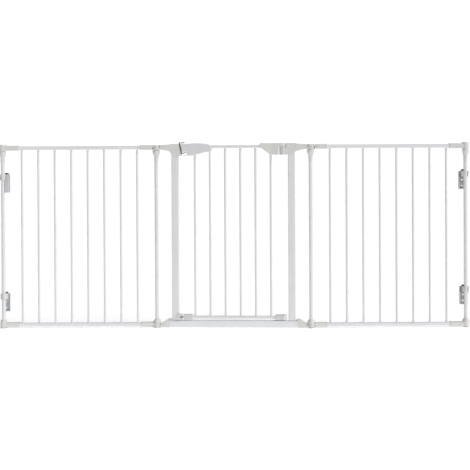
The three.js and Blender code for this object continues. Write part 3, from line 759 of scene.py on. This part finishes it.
def threshold_arm(sign):
    """The moulding that plugs into the threshold bar and reaches the foot of a post."""
    neck = POST_X - SHOULDER
    seat = THRESHOLD_END + GAP
    lip = JAMB + UPRIGHT_WIDTH + 1
    middle = (neck + seat) / 2
    crest = [
        *beside(neck, LOWER_JOINT, [(-4, 16.4), (-9, 18.4)]),
        (middle, LOWER_JOINT + 25),
        *beside(seat, SILL, [(7, 3.6), (2, 5.5), (-5, 4.6)]),
        (lip + 5, SILL + 3.6),
    ]
    keel = [
        (seat + 4, THRESHOLD_LIFT - 0.8),
        (seat + 9, LOWER_JOINT - 1.7),
        (middle + 4, LOWER_JOINT - 0.8),
        (neck - 4, LOWER_JOINT),
    ]
    outline = [
        (neck, LOWER_JOINT + 15.5, 2),
        *smooth(curve_through(crest, 4)),
        (lip, SILL + 3.3, 1.2),
        (lip, SILL + GAP, 0),
        (seat, SILL + GAP, 0),
        (seat, THRESHOLD_LIFT, 0),
        *smooth(curve_through(keel, 4)),
        (neck, LOWER_JOINT, 2),
    ]
    placed = [(sign * u, z, radius) for u, z, radius in outline]
    body = moulding(placed, *JOINT_SIDES, (1.3, 1.3), steps=4)
    inside = TUBE_WALL + GAP
    height = SILL - THRESHOLD_LIFT - 2 * inside
    plug_outline = rounded_rectangle(RAIL_DEPTH - 2 * inside, height, 2.5, 0, THRESHOLD_MIDDLE)
    plug = prism(plug_outline, *signed(sign, THRESHOLD_END - 34, seat + 2), "x", (0.8, 0.8))
    join(body, *centre_eye(sign, LOWER_JOINT, LOWER_LAP - GAP), plug)
    return cut(body, post_bore(LOWER_JOINT - 1, SILL, sign * POST_X))


def threshold_bar():
    outline = rounded_rectangle(RAIL_DEPTH, SILL - THRESHOLD_LIFT, 4, 0, THRESHOLD_MIDDLE)
    made = tube(outline, TUBE_WALL, -THRESHOLD_END, THRESHOLD_END, "x")
    return cut(made, rod(PIN_BORE, THRESHOLD_MIDDLE, SILL + 1, HINGE))


def upright(sign):
    """A rectangular tube with the weld bead round its foot."""
    outline = rounded_rectangle(UPRIGHT_WIDTH, UPRIGHT_DEPTH, 4, sign * UPRIGHT_X, 0)
    foot_level = upright_low.z
    made = tube(outline, TUBE_WALL, foot_level, UPRIGHT_TOP, "z", 0.2)
    bead = [(-1.0, 0), (-0.95, 0.5), (-0.6, 1.1), (-0.1, 1.6), (TUBE_WALL / 2, 1.7), (TUBE_WALL / 2, 0)]
    rings = [raised(inset(outline, d), foot_level + rise, "z") for d, rise in bead]
    return gathered(made, skin(rings, closed=True))


def latch_strike():
    """A strip of steel bent to a lip over the handle, a web and a lip in the handle's slot."""

    def lean(z):
        return -strike_face(z) + GAP + STRIKE_THICKNESS / 2 + 0.1

    line = [
        *beside(-JAMB, CAP_TOP, [(24, 5.6), (19, 4.3), (5.5, 4.2)]),
        (lean(CAP_TOP + 2.6), CAP_TOP + 2.8),
        (lean(CAP_TOP - 3), CAP_TOP - 3),
        (lean(CAP_TOP - 38), CAP_TOP - 38),
        *beside(lean(CAP_TOP - 41), CAP_TOP, [(0.7, -40.9), (6.4, -38.4)]),
        *beside(-JAMB, CAP_TOP, [(23, -36.8), (31.5, -36.7)]),
    ]
    bends = fillet(line, [0, 3, 3, 1.6, 1.6, 1.8, 1.8, 2, 3, 0], 4, closed=False)
    return prism(strip(bends, STRIKE_THICKNESS), -10, 10, edges=(0.5, 0.5), steps=2)


def floor_catch():
    """The fork low on the latch side: a ringed boss on the upright, slotted for the door's pin."""
    front = -UPRIGHT_DEPTH / 2 - GAP
    face = front - 6.7
    at = (-JAMB + 1, CATCH_LEVEL)
    outside = beside(0, face, [(12.5, 1.4), (12.1, 0.5), (11.2, 0)])
    ring = beside(0, face, [(9.4, 0), (9.0, 0.8), (8.2, 0.8), (7.6, 0.1), (0, 0.1)])
    boss = turned([(0, front), (12.5, front), *outside, *ring], at, "y")
    levels = (CATCH_LEVEL - 12, CATCH_LEVEL + 12)
    jaw = block((-JAMB + GAP, -JAMB + 12.5), (face, UPRIGHT_DEPTH / 2), levels, 1.3)
    reach = CATCH_PIN_RADIUS + 1
    slot = block((-JAMB + 2, -JAMB + 18), THROUGH, (CATCH_LEVEL - reach, CATCH_LEVEL + reach))
    return cut(join(boss, jaw), slot)


def upper_hinge_pin():
    return rod(PIN_RADIUS, CAP_FOOT + 12.5, CAP_TOP - 3.4, HINGE, edge=0.6)


def lower_hinge_pin():
    flange = PIN_RADIUS + 3
    low, top = SILL - 10, DOOR_SILL_RAIL + 5.6
    profile = [
        (0, low),
        *beside(PIN_RADIUS, low, [(-0.6, 0), (0, 0.6)]),
        (PIN_RADIUS, SILL + GAP),
        *beside(flange, SILL, [(-0.3, GAP), (0, 0.7), (0, 1.5), (-0.4, 1.8)]),
        (PIN_RADIUS, SILL + 1.8),
        *beside(PIN_RADIUS, top, [(0, -0.8), (-0.8, 0)]),
        (0, top),
    ]
    return turned(profile, HINGE)


def centre_frame():
    for side, sign in (("left", -1), ("right", 1)):
        stand_for(side + "_upright", upright(sign), "white_steel")
        stand_for(side + "_threshold_arm", threshold_arm(sign))
        middle_post(side, sign * POST_X)
    stand_for("threshold_bar", threshold_bar(), "white_steel")
    stand_for("latch_corner_cap", latch_cap())
    stand_for("hinge_corner_cap", hinge_cap())
    stand_for("latch_strike", latch_strike(), "dark_steel")
    stand_for("floor_catch", floor_catch())
    stand_for("upper_hinge_pin", upper_hinge_pin(), "zinc_steel")
    stand_for("lower_hinge_pin", lower_hinge_pin(), "zinc_steel")


# ---- door
def rail_tube(height, z, low, high):
    return tube(rounded_rectangle(RAIL_DEPTH, height, 4, 0, z), TUBE_WALL, low, high, "x")


def bar(low, high, x):
    """A bar between two rails, with its weld fillets."""
    into = 0.9
    bead = [(BAR_RADIUS + 1.2, 0), (BAR_RADIUS + 0.9, 0.35), (BAR_RADIUS + 0.35, 1.0), (BAR_RADIUS, 2.1)]
    foot_line = [(radius, low + rise) for radius, rise in bead]
    head = [(radius, high - rise) for radius, rise in bead[::-1]]
    profile = [(0, low - into), (BAR_RADIUS, low - into), *foot_line, *head]
    return turned([*profile, (BAR_RADIUS, high + into), (0, high + into)], (x, 0), sides=24)


def barred_frame(rails, height, bars):
    """Two rail tubes with bars welded between them. A rail is its level and its two ends."""
    tubes = [rail_tube(height, *rail) for rail in rails]
    low, high = rails[0][0] + height / 2, rails[1][0] - height / 2
    return gathered(*tubes, *[bar(low, high, x) for x in bars])


def door_frame():
    rails = [
        (DOOR_SILL_RAIL, -JAMB + 29, HINGE_X - 19),
        (DOOR_RAIL, -JAMB + 25, LAST_DOOR_BAR + 10.5),
    ]
    return barred_frame(rails, DOOR_RAIL_HEIGHT, [door_bar_x(i) for i in range(DOOR_BARS)])


def rail_passage(low, high, z):
    reach = DOOR_RAIL_HEIGHT / 2 + GAP
    return block((low, high), (-RAIL_HALF, RAIL_HALF), (z - reach, z + reach))


def bar_passage(i):
    return rod(BAR_RADIUS + GAP, CAP_FOOT - 10, DOOR_RAIL, (door_bar_x(i), 0), sides=32)


def handle_outline():
    return [
        (handle_end(CAP_FOOT + 1.5), CAP_FOOT + 1.5, 2.5),
        (FIRST_DOOR_BAR - 13, CAP_FOOT + 1.5, 30),
        *beside(HANDLE_RIGHT, CAP_FOOT, [(-33, 13.5, 40), (0, 19, 7), (0, 42, 11), (-16, 48.8, 30)]),
        (HANDLE_RIGHT - 33, HANDLE_TOP, 60),
        (handle_end(CAP_TOP - 0.5), CAP_TOP - 0.5, 2.5),
    ]


def shell(outline, sign, depth, edge):
    """A half of a moulded cover, from the middle seam out to its depth, and the hollow in it."""
    edges = (edge, 0.25) if sign < 0 else (0.25, edge)
    outer = moulding(outline, *signed(sign, GAP / 2, depth), edges)
    inner_edges = (edge / 3, 0) if sign < 0 else (0, edge / 3)
    return outer, moulding(outline, *signed(sign, -1, depth - SHELL_WALL), inner_edges, SHELL_WALL)


def screw_seat(x, z, depth):
    """What a countersunk screw's seat removes from a back shell."""
    wall = [(0, -2.2), (3.2, -2.2), (3.4, -1.2), (5.0, -0.2), (5.0, 1), (0, 1)]
    return turned(beside(0, depth, wall), (x, z), "y", 32)


def cross_screw(x, z, level, sign=1):
    """A cross-head screw whose domed head looks along y, towards the sign's side."""
    profile = [(0, -2.0), (2.9, -2.0), (3.0, -0.9), (2.3, -0.2), (1.2, 0.15), (0, 0.2)]
    points = [(radius, level + sign * rise) for radius, rise in profile]
    head = turned(points, (x, z), "y", 32)
    near, far = sorted((level - sign * 0.9, level + sign))
    slots = [block((x - a, x + a), (near, far), (z - b, z + b)) for a, b in ((1.7, 0.35), (0.35, 1.7))]
    return cut(head, *slots)


HANDLE_SCREWS = [(FIRST_DOOR_BAR - 30, DOOR_RAIL - 19), (door_bar_x(0) + 30, DOOR_RAIL - 14.5)]
COVER_SCREWS = [(LAST_DOOR_BAR - 22, DOOR_RAIL - 12), (LAST_DOOR_BAR + 20, DOOR_RAIL - 22)]


def handle_shell(sign):
    """Half of the handle: slotted for the strike, the bolt and the thumb slide."""
    outer, cavity = shell(handle_outline(), sign, HANDLE_DEPTH, 4.5)
    surround_range = (handle_end(CAP_TOP) - 6, SLOT_END + SHELL_WALL)
    surround = block(surround_range, THROUGH, (CAP_FOOT - 5, SLOT[1] + SHELL_WALL))
    made = cut(outer, cut(cavity, surround))
    if sign < 0:
        rib = (SPRING_STOP, SPRING_STOP + 3)
        levels = (CAP_FOOT + 20, DOOR_RAIL - DOOR_RAIL_HEIGHT / 2 - 0.4)
        join(made, block(rib, (-HANDLE_DEPTH + 1.5, 4), levels))
    around = 0.5
    pad_range = (THUMB_PAD[0] - around, THUMB_PAD[1] + THUMB_TRAVEL + around)
    pad_depth = (-PAD_HALF - around, PAD_HALF + around)
    openings = [
        block((-JAMB - 20, SLOT_END), THROUGH, SLOT),
        block((-JAMB - 20, -JAMB + 22), (-8.6, 8.6), (BOLT[0] - GAP, BOLT[1] + GAP)),
        block(pad_range, pad_depth, (CAP_TOP - 5, CAP_TOP + 5)),
        rail_passage(-JAMB + 24.7, HANDLE_RIGHT + 5, DOOR_RAIL),
        bar_passage(0),
        bar_passage(1),
    ]
    if sign > 0:
        openings += [screw_seat(x, z, HANDLE_DEPTH) for x, z in HANDLE_SCREWS]
    return cut(made, *openings)


def latch_slider():
    """The thumb slide: a grooved pad above the rail, and two cheeks down to a yoke."""
    front = (FIRST_DOOR_BAR - 22, FIRST_DOOR_BAR - 18)
    back = (FIRST_DOOR_BAR + 8, SPRING_SEAT - GAP)
    under = DOOR_RAIL + DOOR_RAIL_HEIGHT / 2 + 1
    yoke = (BOLT[0] + 0.5, BOLT[1])
    levels = (yoke[0], under + 0.5)
    sides = [signed(sign, YOKE_HALF, RAIL_HALF + 0.5) for sign in (-1, 1)]
    cheeks = [block((front[0], back[1]), side, levels, 0.4) for side in sides]
    top = CAP_TOP + 1.4
    pad = block(THUMB_PAD, (-PAD_HALF, PAD_HALF), (under + 1, top), 1.0)
    across = (-YOKE_HALF, YOKE_HALF)
    plate = block((front[0], THUMB_PAD[1]), across, (under, under + 2.8), 0.4)
    join(pad, plate, *cheeks, block(front, across, yoke, 0.4), block(back, across, yoke, 0.4))
    xs = [THUMB_PAD[0] + 5 + 4.4 * i for i in range(6)]
    return cut(pad, *[rod(1.1, -9, 9, (x, top + 0.5), "y", sides=16) for x in xs])


def latch_bolt():
    tip = handle_end((BOLT[0] + BOLT[1]) / 2) - 1
    end = FIRST_DOOR_BAR - 22 - GAP
    outline = [(tip, BOLT[0] + 2.5), (tip + 2.5, BOLT[0]), (end, BOLT[0]), (end, BOLT[1]), (tip, BOLT[1])]
    return prism(fillet(outline, 0.8, 3), -8, 8, edges=(0.6, 0.6), steps=2)


def latch_spring():
    """A compression spring between the slide's yoke and the handle's rib."""
    wire, radius, turns, steps = 0.6, 3.4, 6, 144
    start = SPRING_SEAT + wire + GAP
    length = SPRING_STOP - SPRING_SEAT - 2 * (wire + GAP)
    level = (BOLT[0] + BOLT[1]) / 2
    rings = []
    for i in range(steps + 1):
        angle = 2 * math.pi * turns * i / steps
        outwards = Vector((0, math.cos(angle), math.sin(angle)))
        centre = Vector((start + length * i / steps, 0, level)) + outwards * radius
        section = arc(0, 0, wire, 0, 315, 7)
        rings.append([tuple(centre + outwards * a + Vector((b, 0, 0))) for a, b in section])
    return skin(rings)


def hinge_cover_shell(sign):
    """Half of the hinge cover: a tapered body on the rail, and an arm over the hinge pin."""
    top = CAP_TOP + GAP
    face = HINGE_X - KNUCKLE_RADIUS - 3
    left = LAST_DOOR_BAR - 44
    low = CAP_FOOT + 3
    body = [
        (LAST_DOOR_BAR - 1.5, low, 6),
        (face, low, 3.2),
        (face, top, 3.2),
        (left, top, 4.5),
        (left, top - 16, 8),
    ]
    outer, cavity = shell(body, sign, COVER_DEPTH, 3.0)
    arm_outline = [
        (face - 3, -COVER_DEPTH),
        (HINGE_X, -COVER_DEPTH),
        *arc(HINGE_X, 0, KNUCKLE_RADIUS, -90, 90, 20),
        (face - 3, COVER_DEPTH),
    ]
    arm = prism(arm_outline, HINGE_SPLIT + HINGE_CLEARANCE, top, "z", (0.8, 1.4), 4)
    half = block((left - 5, HINGE_X + 30), signed(sign, GAP / 2, COVER_DEPTH + 1), (low - 5, top + 5))
    combined("INTERSECT", arm, [half])
    made = cut(join(outer, arm), cavity)
    openings = [
        rod(PIN_BORE, HINGE_SPLIT - 1, CAP_TOP - 3.1, HINGE),
        rail_passage(left - 5, LAST_DOOR_BAR + 10.8, DOOR_RAIL),
        bar_passage(DOOR_BARS - 1),
    ]
    if sign > 0:
        openings += [screw_seat(x, z, COVER_DEPTH) for x, z in COVER_SCREWS]
    skin_deep = signed(sign, COVER_DEPTH - 0.6, COVER_DEPTH + 1)
    grooves = [block((x - 0.6, x + 0.6), skin_deep, (low + 4, top - 4)) for x in (face - 6, face - 19)]
    return cut(made, *openings, *grooves)


BLOCK_HALF = RAIL_HALF + 2.2


def block_grooves(xs, levels):
    """Shallow moulded grooves along the front and back of a block."""
    return [
        block(xs, signed(sign, BLOCK_HALF - 0.7, BLOCK_HALF + 1), (z - 0.7, z + 0.7))
        for z in levels
        for sign in (-1, 1)
    ]


def door_hinge_block():
    left = HINGE_X - 36.5
    low, high = SILL + 2.3, DOOR_SILL_RAIL + 11.3
    outline = fillet(
        [(left, low), (HINGE_X, low), (HINGE_X, high), (left + 5, high), (left, high - 7)],
        [2.5, 2.5, 2.5, 6, 6],
        4,
    )
    body = prism(outline, -BLOCK_HALF, BLOCK_HALF, edges=(1.6, 1.6), steps=4)
    join(body, rod(KNUCKLE_RADIUS, low, high, HINGE, edge=1.4))
    return cut(
        body,
        rail_passage(left - 5, HINGE_X - 18.7, DOOR_SILL_RAIL),
        rod(PIN_BORE, SILL, DOOR_SILL_RAIL + 6, HINGE),
        *block_grooves((left + 6, HINGE_X - 12), [high - 5, high - 8.5]),
    )


def door_catch_block():
    xs = (-JAMB + 17.5, -JAMB + 54.5)
    low, high = SILL + 3, DOOR_SILL_RAIL + 12.5
    body = block(xs, (-BLOCK_HALF, BLOCK_HALF), (low, high), 1.6)
    return cut(
        body,
        rail_passage(-JAMB + 28.7, xs[1] + 5, DOOR_SILL_RAIL),
        rod(CATCH_PIN_RADIUS + GAP, xs[0] - 5, -JAMB + 28.4, (0, CATCH_LEVEL), "x"),
        *block_grooves((xs[0] + 4, xs[1] - 3), [low + 4.5 + 4 * i for i in range(4)]),
    )


def door_catch_pin():
    return rod(CATCH_PIN_RADIUS, -JAMB + 4.5, -JAMB + 28, (0, CATCH_LEVEL), "x", 0.8)


def door():
    stand_for("door_frame", door_frame(), "white_steel")
    for side, sign in (("front", -1), ("back", 1)):
        stand_for("handle_" + side, handle_shell(sign), "handle_plastic")
        stand_for("hinge_cover_" + side, hinge_cover_shell(sign))
    stand_for("latch_slider", latch_slider(), "handle_plastic")
    stand_for("latch_bolt", latch_bolt(), "zinc_steel")
    stand_for("latch_spring", latch_spring(), "zinc_steel")
    spring = bpy.data.objects["latch_spring_detail"]
    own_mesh(spring)
    stand_for("door_hinge_block", door_hinge_block())
    stand_for("door_catch_block", door_catch_block())
    stand_for("door_catch_pin", door_catch_pin(), "zinc_steel")
    screws = (("handle", HANDLE_SCREWS, HANDLE_DEPTH), ("hinge_cover", COVER_SCREWS, COVER_DEPTH))
    for cover, seats, depth in screws:
        for i, (x, z) in enumerate(seats):
            extra(f"{cover}_screw_{i + 1}", cross_screw(x, z, depth - 0.3), "zinc_steel", "door")


# ---- side panels
def joint_body(z, low, high, rim):
    """The sleeve of a moulded joint about its rail, with a raised rim at its open end."""
    outline = rounded_rectangle(JOINT_DEPTH, JOINT_HEIGHT, 5, 0, z)
    sleeve = prism(outline, low, high, "x", (1.6, 1.0), 4)
    ends = sorted((rim, rim + math.copysign(4.5, (low + high) / 2 - rim)))
    return join(sleeve, prism(inset(outline, -0.7), *ends, "x", (0.7, 0.7)))


def rail_socket(z, low, high):
    reach = RAIL_HEIGHT / 2 + GAP
    return block((low, high), (-RAIL_HALF, RAIL_HALF), (z - reach, z + reach))


def inner_joint(z, eye_levels, bore_top):
    """A joint on the post that the panel folds about: its eye is half as tall as the joint."""
    made = joint_body(z, SHOULDER, JOINT_REACH, JOINT_REACH)
    join(made, block((0, SHOULDER + 5), JOINT_SIDES, eye_levels, 0.9), eye(EYE_RADIUS, *eye_levels))
    socket = rail_socket(z, JOINT_REACH - RAIL_INSERTION - GAP, JOINT_REACH + 1)
    return cut(made, post_bore(0, bore_top), socket)


def outer_joint(z, pitch, profile, bores):
    """A joint on the end post, from its eye's profile."""
    low = pitch - JOINT_REACH
    made = joint_body(z, low, pitch - 9, low)
    join(made, turned(profile, (pitch, 0)))
    return cut(made, *bores, rail_socket(z, low - 1, low + RAIL_INSERTION + GAP))


def end_rim(inner, low):
    return [(inner, low), *beside(END_EYE_RADIUS, low, [(-0.8, 0), (0, 0.8)])]


def upper_end_eye():
    top = CAP_TOP + GAP
    crown = [*beside(END_EYE_RADIUS, top, [(0, -3.6), (-1.1, -1.3), (-3.6, -0.2)]), (0, top)]
    return [*end_rim(0, UPPER_JOINT - 2.5), *curve_through(crown, 6)]


def lower_end_eye():
    low = FOOT_HEIGHT + 0.6
    shoulder = [
        *beside(END_EYE_RADIUS, low, [(0, 22), (-1.3, 27.5)]),
        *beside(POST_RADIUS, low, [(2.4, 31), (1, 32)]),
    ]
    return [*end_rim(BORE, low), *curve_through(shoulder), (BORE, low + 32)]


JOINT_SCREW = (25, UPPER_RAIL)
BORE_TOP = 60  # a level above the lower joints


def side_panel(side):
    axis = joint_at(side + "_panel_fold")
    end = middle_of(side + "_end_post")
    along = Vector((end.x - axis.x, end.y - axis.y))
    pitch = along.length / MM
    place = standing(axis, 0, along)

    def put(part, made, slot="white_plastic"):
        stand_for(side + part, made, slot, place)

    ends = (JOINT_REACH - RAIL_INSERTION, pitch - JOINT_REACH + RAIL_INSERTION)
    step = (pitch - 2 * FIRST_SIDE_BAR) / (SIDE_BARS - 1)
    bars = [FIRST_SIDE_BAR + i * step for i in range(SIDE_BARS)]
    rails = [(LOWER_RAIL, *ends), (UPPER_RAIL, *ends)]
    put("_panel_frame", barred_frame(rails, RAIL_HEIGHT, bars), "white_steel")

    top_joint = inner_joint(UPPER_RAIL, (UPPER_RAIL + GAP, JOINT_TOP), JOINT_TOP - 3.2)
    cut(top_joint, rod(4.6, -JOINT_HALF - 2, -JOINT_HALF + 1.8, JOINT_SCREW, "y", sides=32))
    put("_inner_top_joint", top_joint)
    screw = cross_screw(*JOINT_SCREW, -JOINT_HALF + 0.4, -1)
    extra(side + "_joint_screw", screw, "zinc_steel", side + "_panel", place)
    bottom_joint = inner_joint(LOWER_RAIL, (LOWER_LAP + GAP, DOME_BASE - GAP), BORE_TOP)
    put("_inner_bottom_joint", bottom_joint)

    top_bore = post_bore(UPPER_RAIL - 30, UPPER_RAIL + JOINT_HEIGHT / 2 + 1.8, pitch)
    put("_outer_top_joint", outer_joint(UPPER_RAIL, pitch, upper_end_eye(), [top_bore]))
    low_bore = post_bore(0, BORE_TOP, pitch)
    put("_outer_bottom_joint", outer_joint(LOWER_RAIL, pitch, lower_end_eye(), [low_bore]))

    tube_of_post = round_tube(POST_RADIUS, POST_WALL, post_low.z, JOINT_TOP + 1.5, (pitch, 0))
    put("_end_post", tube_of_post, "white_steel")
    put("_end_collar", collar(END_EYE_RADIUS, UPPER_JOINT - 2.8, pitch))
    put("_end_foot", foot(END_EYE_RADIUS - 0.5, pitch))


# ---- wall brackets
def clip(reach):
    """The plastic clip that snaps round the end post and carries the bracket's pin."""
    ring = BORE + 4.3
    body = rod(ring, *CLIP, edge=1.0)
    join(body, block((5, reach), (-6, 6), CLIP, 1.0), rod(8.5, *CLIP, (reach, 0), edge=1.0))
    return cut(
        body,
        post_bore(0, ABOVE_BRACKET),
        rod(BRACKET_PIN_RADIUS + GAP, 0, ABOVE_BRACKET, (reach, 0)),
        block((-ring - 5, -5), (-5.5, 5.5), (0, ABOVE_BRACKET)),
    )


def bracket_pin(reach):
    low = CLIP[0] - 5
    head = CLIP[1] + 0.4
    dome_line = curve_through(beside(0, head, [(9, 1.2), (8.1, 3.5), (5.5, 5.5), (0, 6.4)]))
    shank = [(0, low), *beside(BRACKET_PIN_RADIUS, low, [(-0.6, 0), (0, 0.6)]), (BRACKET_PIN_RADIUS, head)]
    return turned([*shank, (8.7, head), *dome_line], (reach, 0))


def wall_channel():
    """The pressed channel about its pin: web, bent cheeks, two shelves and two screw holes."""
    edge = BRACKET_WIDTH / 2 - BRACKET_THICKNESS / 2
    back = WEB + BRACKET_THICKNESS / 2
    bends = fillet([(-6, -edge), (back, -edge), (back, edge), (-6, edge)], 2.2, 5, closed=False)
    body = prism(strip(bends, BRACKET_THICKNESS), 0, BRACKET_HEIGHT, "z", (0.35, 0.35), 2)
    split = CLIP[0] - 1.5
    cut(body, block((-8, 0), THROUGH, (split, BRACKET_HEIGHT + 1)))
    inside = back - 0.5
    shelf_outline = [*arc(0, 0, WEB, 90, 270, 20), (0, -edge), (inside, -edge), (inside, edge), (0, edge)]
    upper = CLIP[0] - 0.8 - BRACKET_THICKNESS
    spans = [(low, low + BRACKET_THICKNESS) for low in (0, upper)]
    join(body, *[prism(shelf_outline, *span, "z", (0.3, 0.3), 2) for span in spans])
    face = WEB - 0.01
    hole = beside(0, face, [(0, -2), (5.0, -2), (5.0, 0), (3, 1.3), (3, 5), (0, 5)])
    holes = [turned(hole, (0, z), "x", 32) for z in (14, 38)]
    return cut(body, rod(BRACKET_PIN_RADIUS + GAP, split - 10, ABOVE_BRACKET), *holes)


def wall_bracket(side, level_name):
    name = f"{side}_{level_name}_bracket"
    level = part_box(name + "_channel")[0].z
    post = middle_of(side + "_end_post")
    pin = middle_of(name + "_pin")
    along = Vector((pin.x - post.x, pin.y - post.y))
    reach = along.length / MM
    at_post = standing(post, level, along)
    at_pin = standing(pin, level, wall_normal(name + "_wall_face"))
    stand_for(name + "_clip", clip(reach), place=at_post)
    stand_for(name + "_pin", bracket_pin(reach), "dark_steel", at_post)
    stand_for(name + "_channel", wall_channel(), "zinc_steel", at_pin)


# ---- the gate
centre_frame()
door()
for gate_side in ("left", "right"):
    side_panel(gate_side)
    for bracket_level in ("top", "bottom"):
        wall_bracket(gate_side, bracket_level)


# ---- stage, light and camera
def floor():
    made = prism([(-30, -30), (30, -30), (30, 30), (-30, 30)], -0.02, 0, "z", (0, 0))
    made.name = "floor"
    finish = Finish("pale_floor", (1, 1, 1))
    tint = finish.shades(finish.noise(0.6, 2), 0.9, 0.92)
    roughness = finish.ranged(finish.noise(2, 2), 0.8, 0.9)
    normal = finish.bump(finish.noise(40, 2), 0.02, 0.001)
    lit = finish.surface(tint, roughness, normal, Specular_IOR_Level=0.1, Emission_Strength=0.47)
    made.data.materials.append(lit)


def world(seen, cast):
    """A white surround: one brightness to the camera, and a lower one as light."""
    made = bpy.data.worlds.new("studio")
    made.use_nodes = True
    nodes, links = made.node_tree.nodes, made.node_tree.links
    background = nodes["Background"]
    background.inputs["Color"].default_value = (1, 1, 1, 1)
    path = nodes.new("ShaderNodeLightPath")
    strength = nodes.new("ShaderNodeMapRange")
    strength.inputs["To Min"].default_value = cast
    strength.inputs["To Max"].default_value = seen
    links.new(path.outputs["Is Camera Ray"], strength.inputs["Value"])
    links.new(strength.outputs["Result"], background.inputs["Strength"])
    bpy.context.scene.world = made


def sun(name, azimuth, elevation, strength, softness):
    """A soft distant light. Azimuth 0 comes from the front, and 90 from the right."""
    data = bpy.data.lights.new(name, "SUN")
    data.energy = strength
    data.angle = math.radians(softness)
    light = bpy.data.objects.new(name, data)
    a, e = math.radians(azimuth), math.radians(elevation)
    source = Vector((math.sin(a) * math.cos(e), -math.cos(a) * math.cos(e), math.sin(e)))
    light.rotation_euler = source.to_track_quat("Z", "Y").to_euler()
    bpy.context.scene.collection.objects.link(light)


def camera():
    """The camera stands 4.5 m in front of the gate, a little to the right, and is nearly level."""
    data = bpy.data.cameras.new("camera")
    data.sensor_width = 36
    data.lens = 83.91
    data.shift_y = -0.102
    made = bpy.data.objects.new("camera", data)
    yaw, pitch, roll = math.radians(-3.542), math.radians(0.5), math.radians(0.3)
    ahead = Vector((math.sin(yaw) * math.cos(pitch), math.cos(yaw) * math.cos(pitch), -math.sin(pitch)))
    level_right = Vector((math.cos(yaw), -math.sin(yaw), 0))
    level_up = level_right.cross(ahead)
    right = level_right * math.cos(roll) - level_up * math.sin(roll)
    up = level_up * math.cos(roll) + level_right * math.sin(roll)
    facing = Matrix((right, up, -ahead)).transposed().to_4x4()
    stand = ORIGIN + Vector((0.2859, -4.5, 0.62))
    made.matrix_world = Matrix.Translation(stand) @ facing
    bpy.context.scene.collection.objects.link(made)
    bpy.context.scene.camera = made


floor()
world(seen=1.05, cast=0.1)
sun("key", 64, 44, 2.0, 40)
sun("fill", -15, 68, 0.34, 70)
camera()
bpy.context.scene.view_settings.view_transform = "Standard"
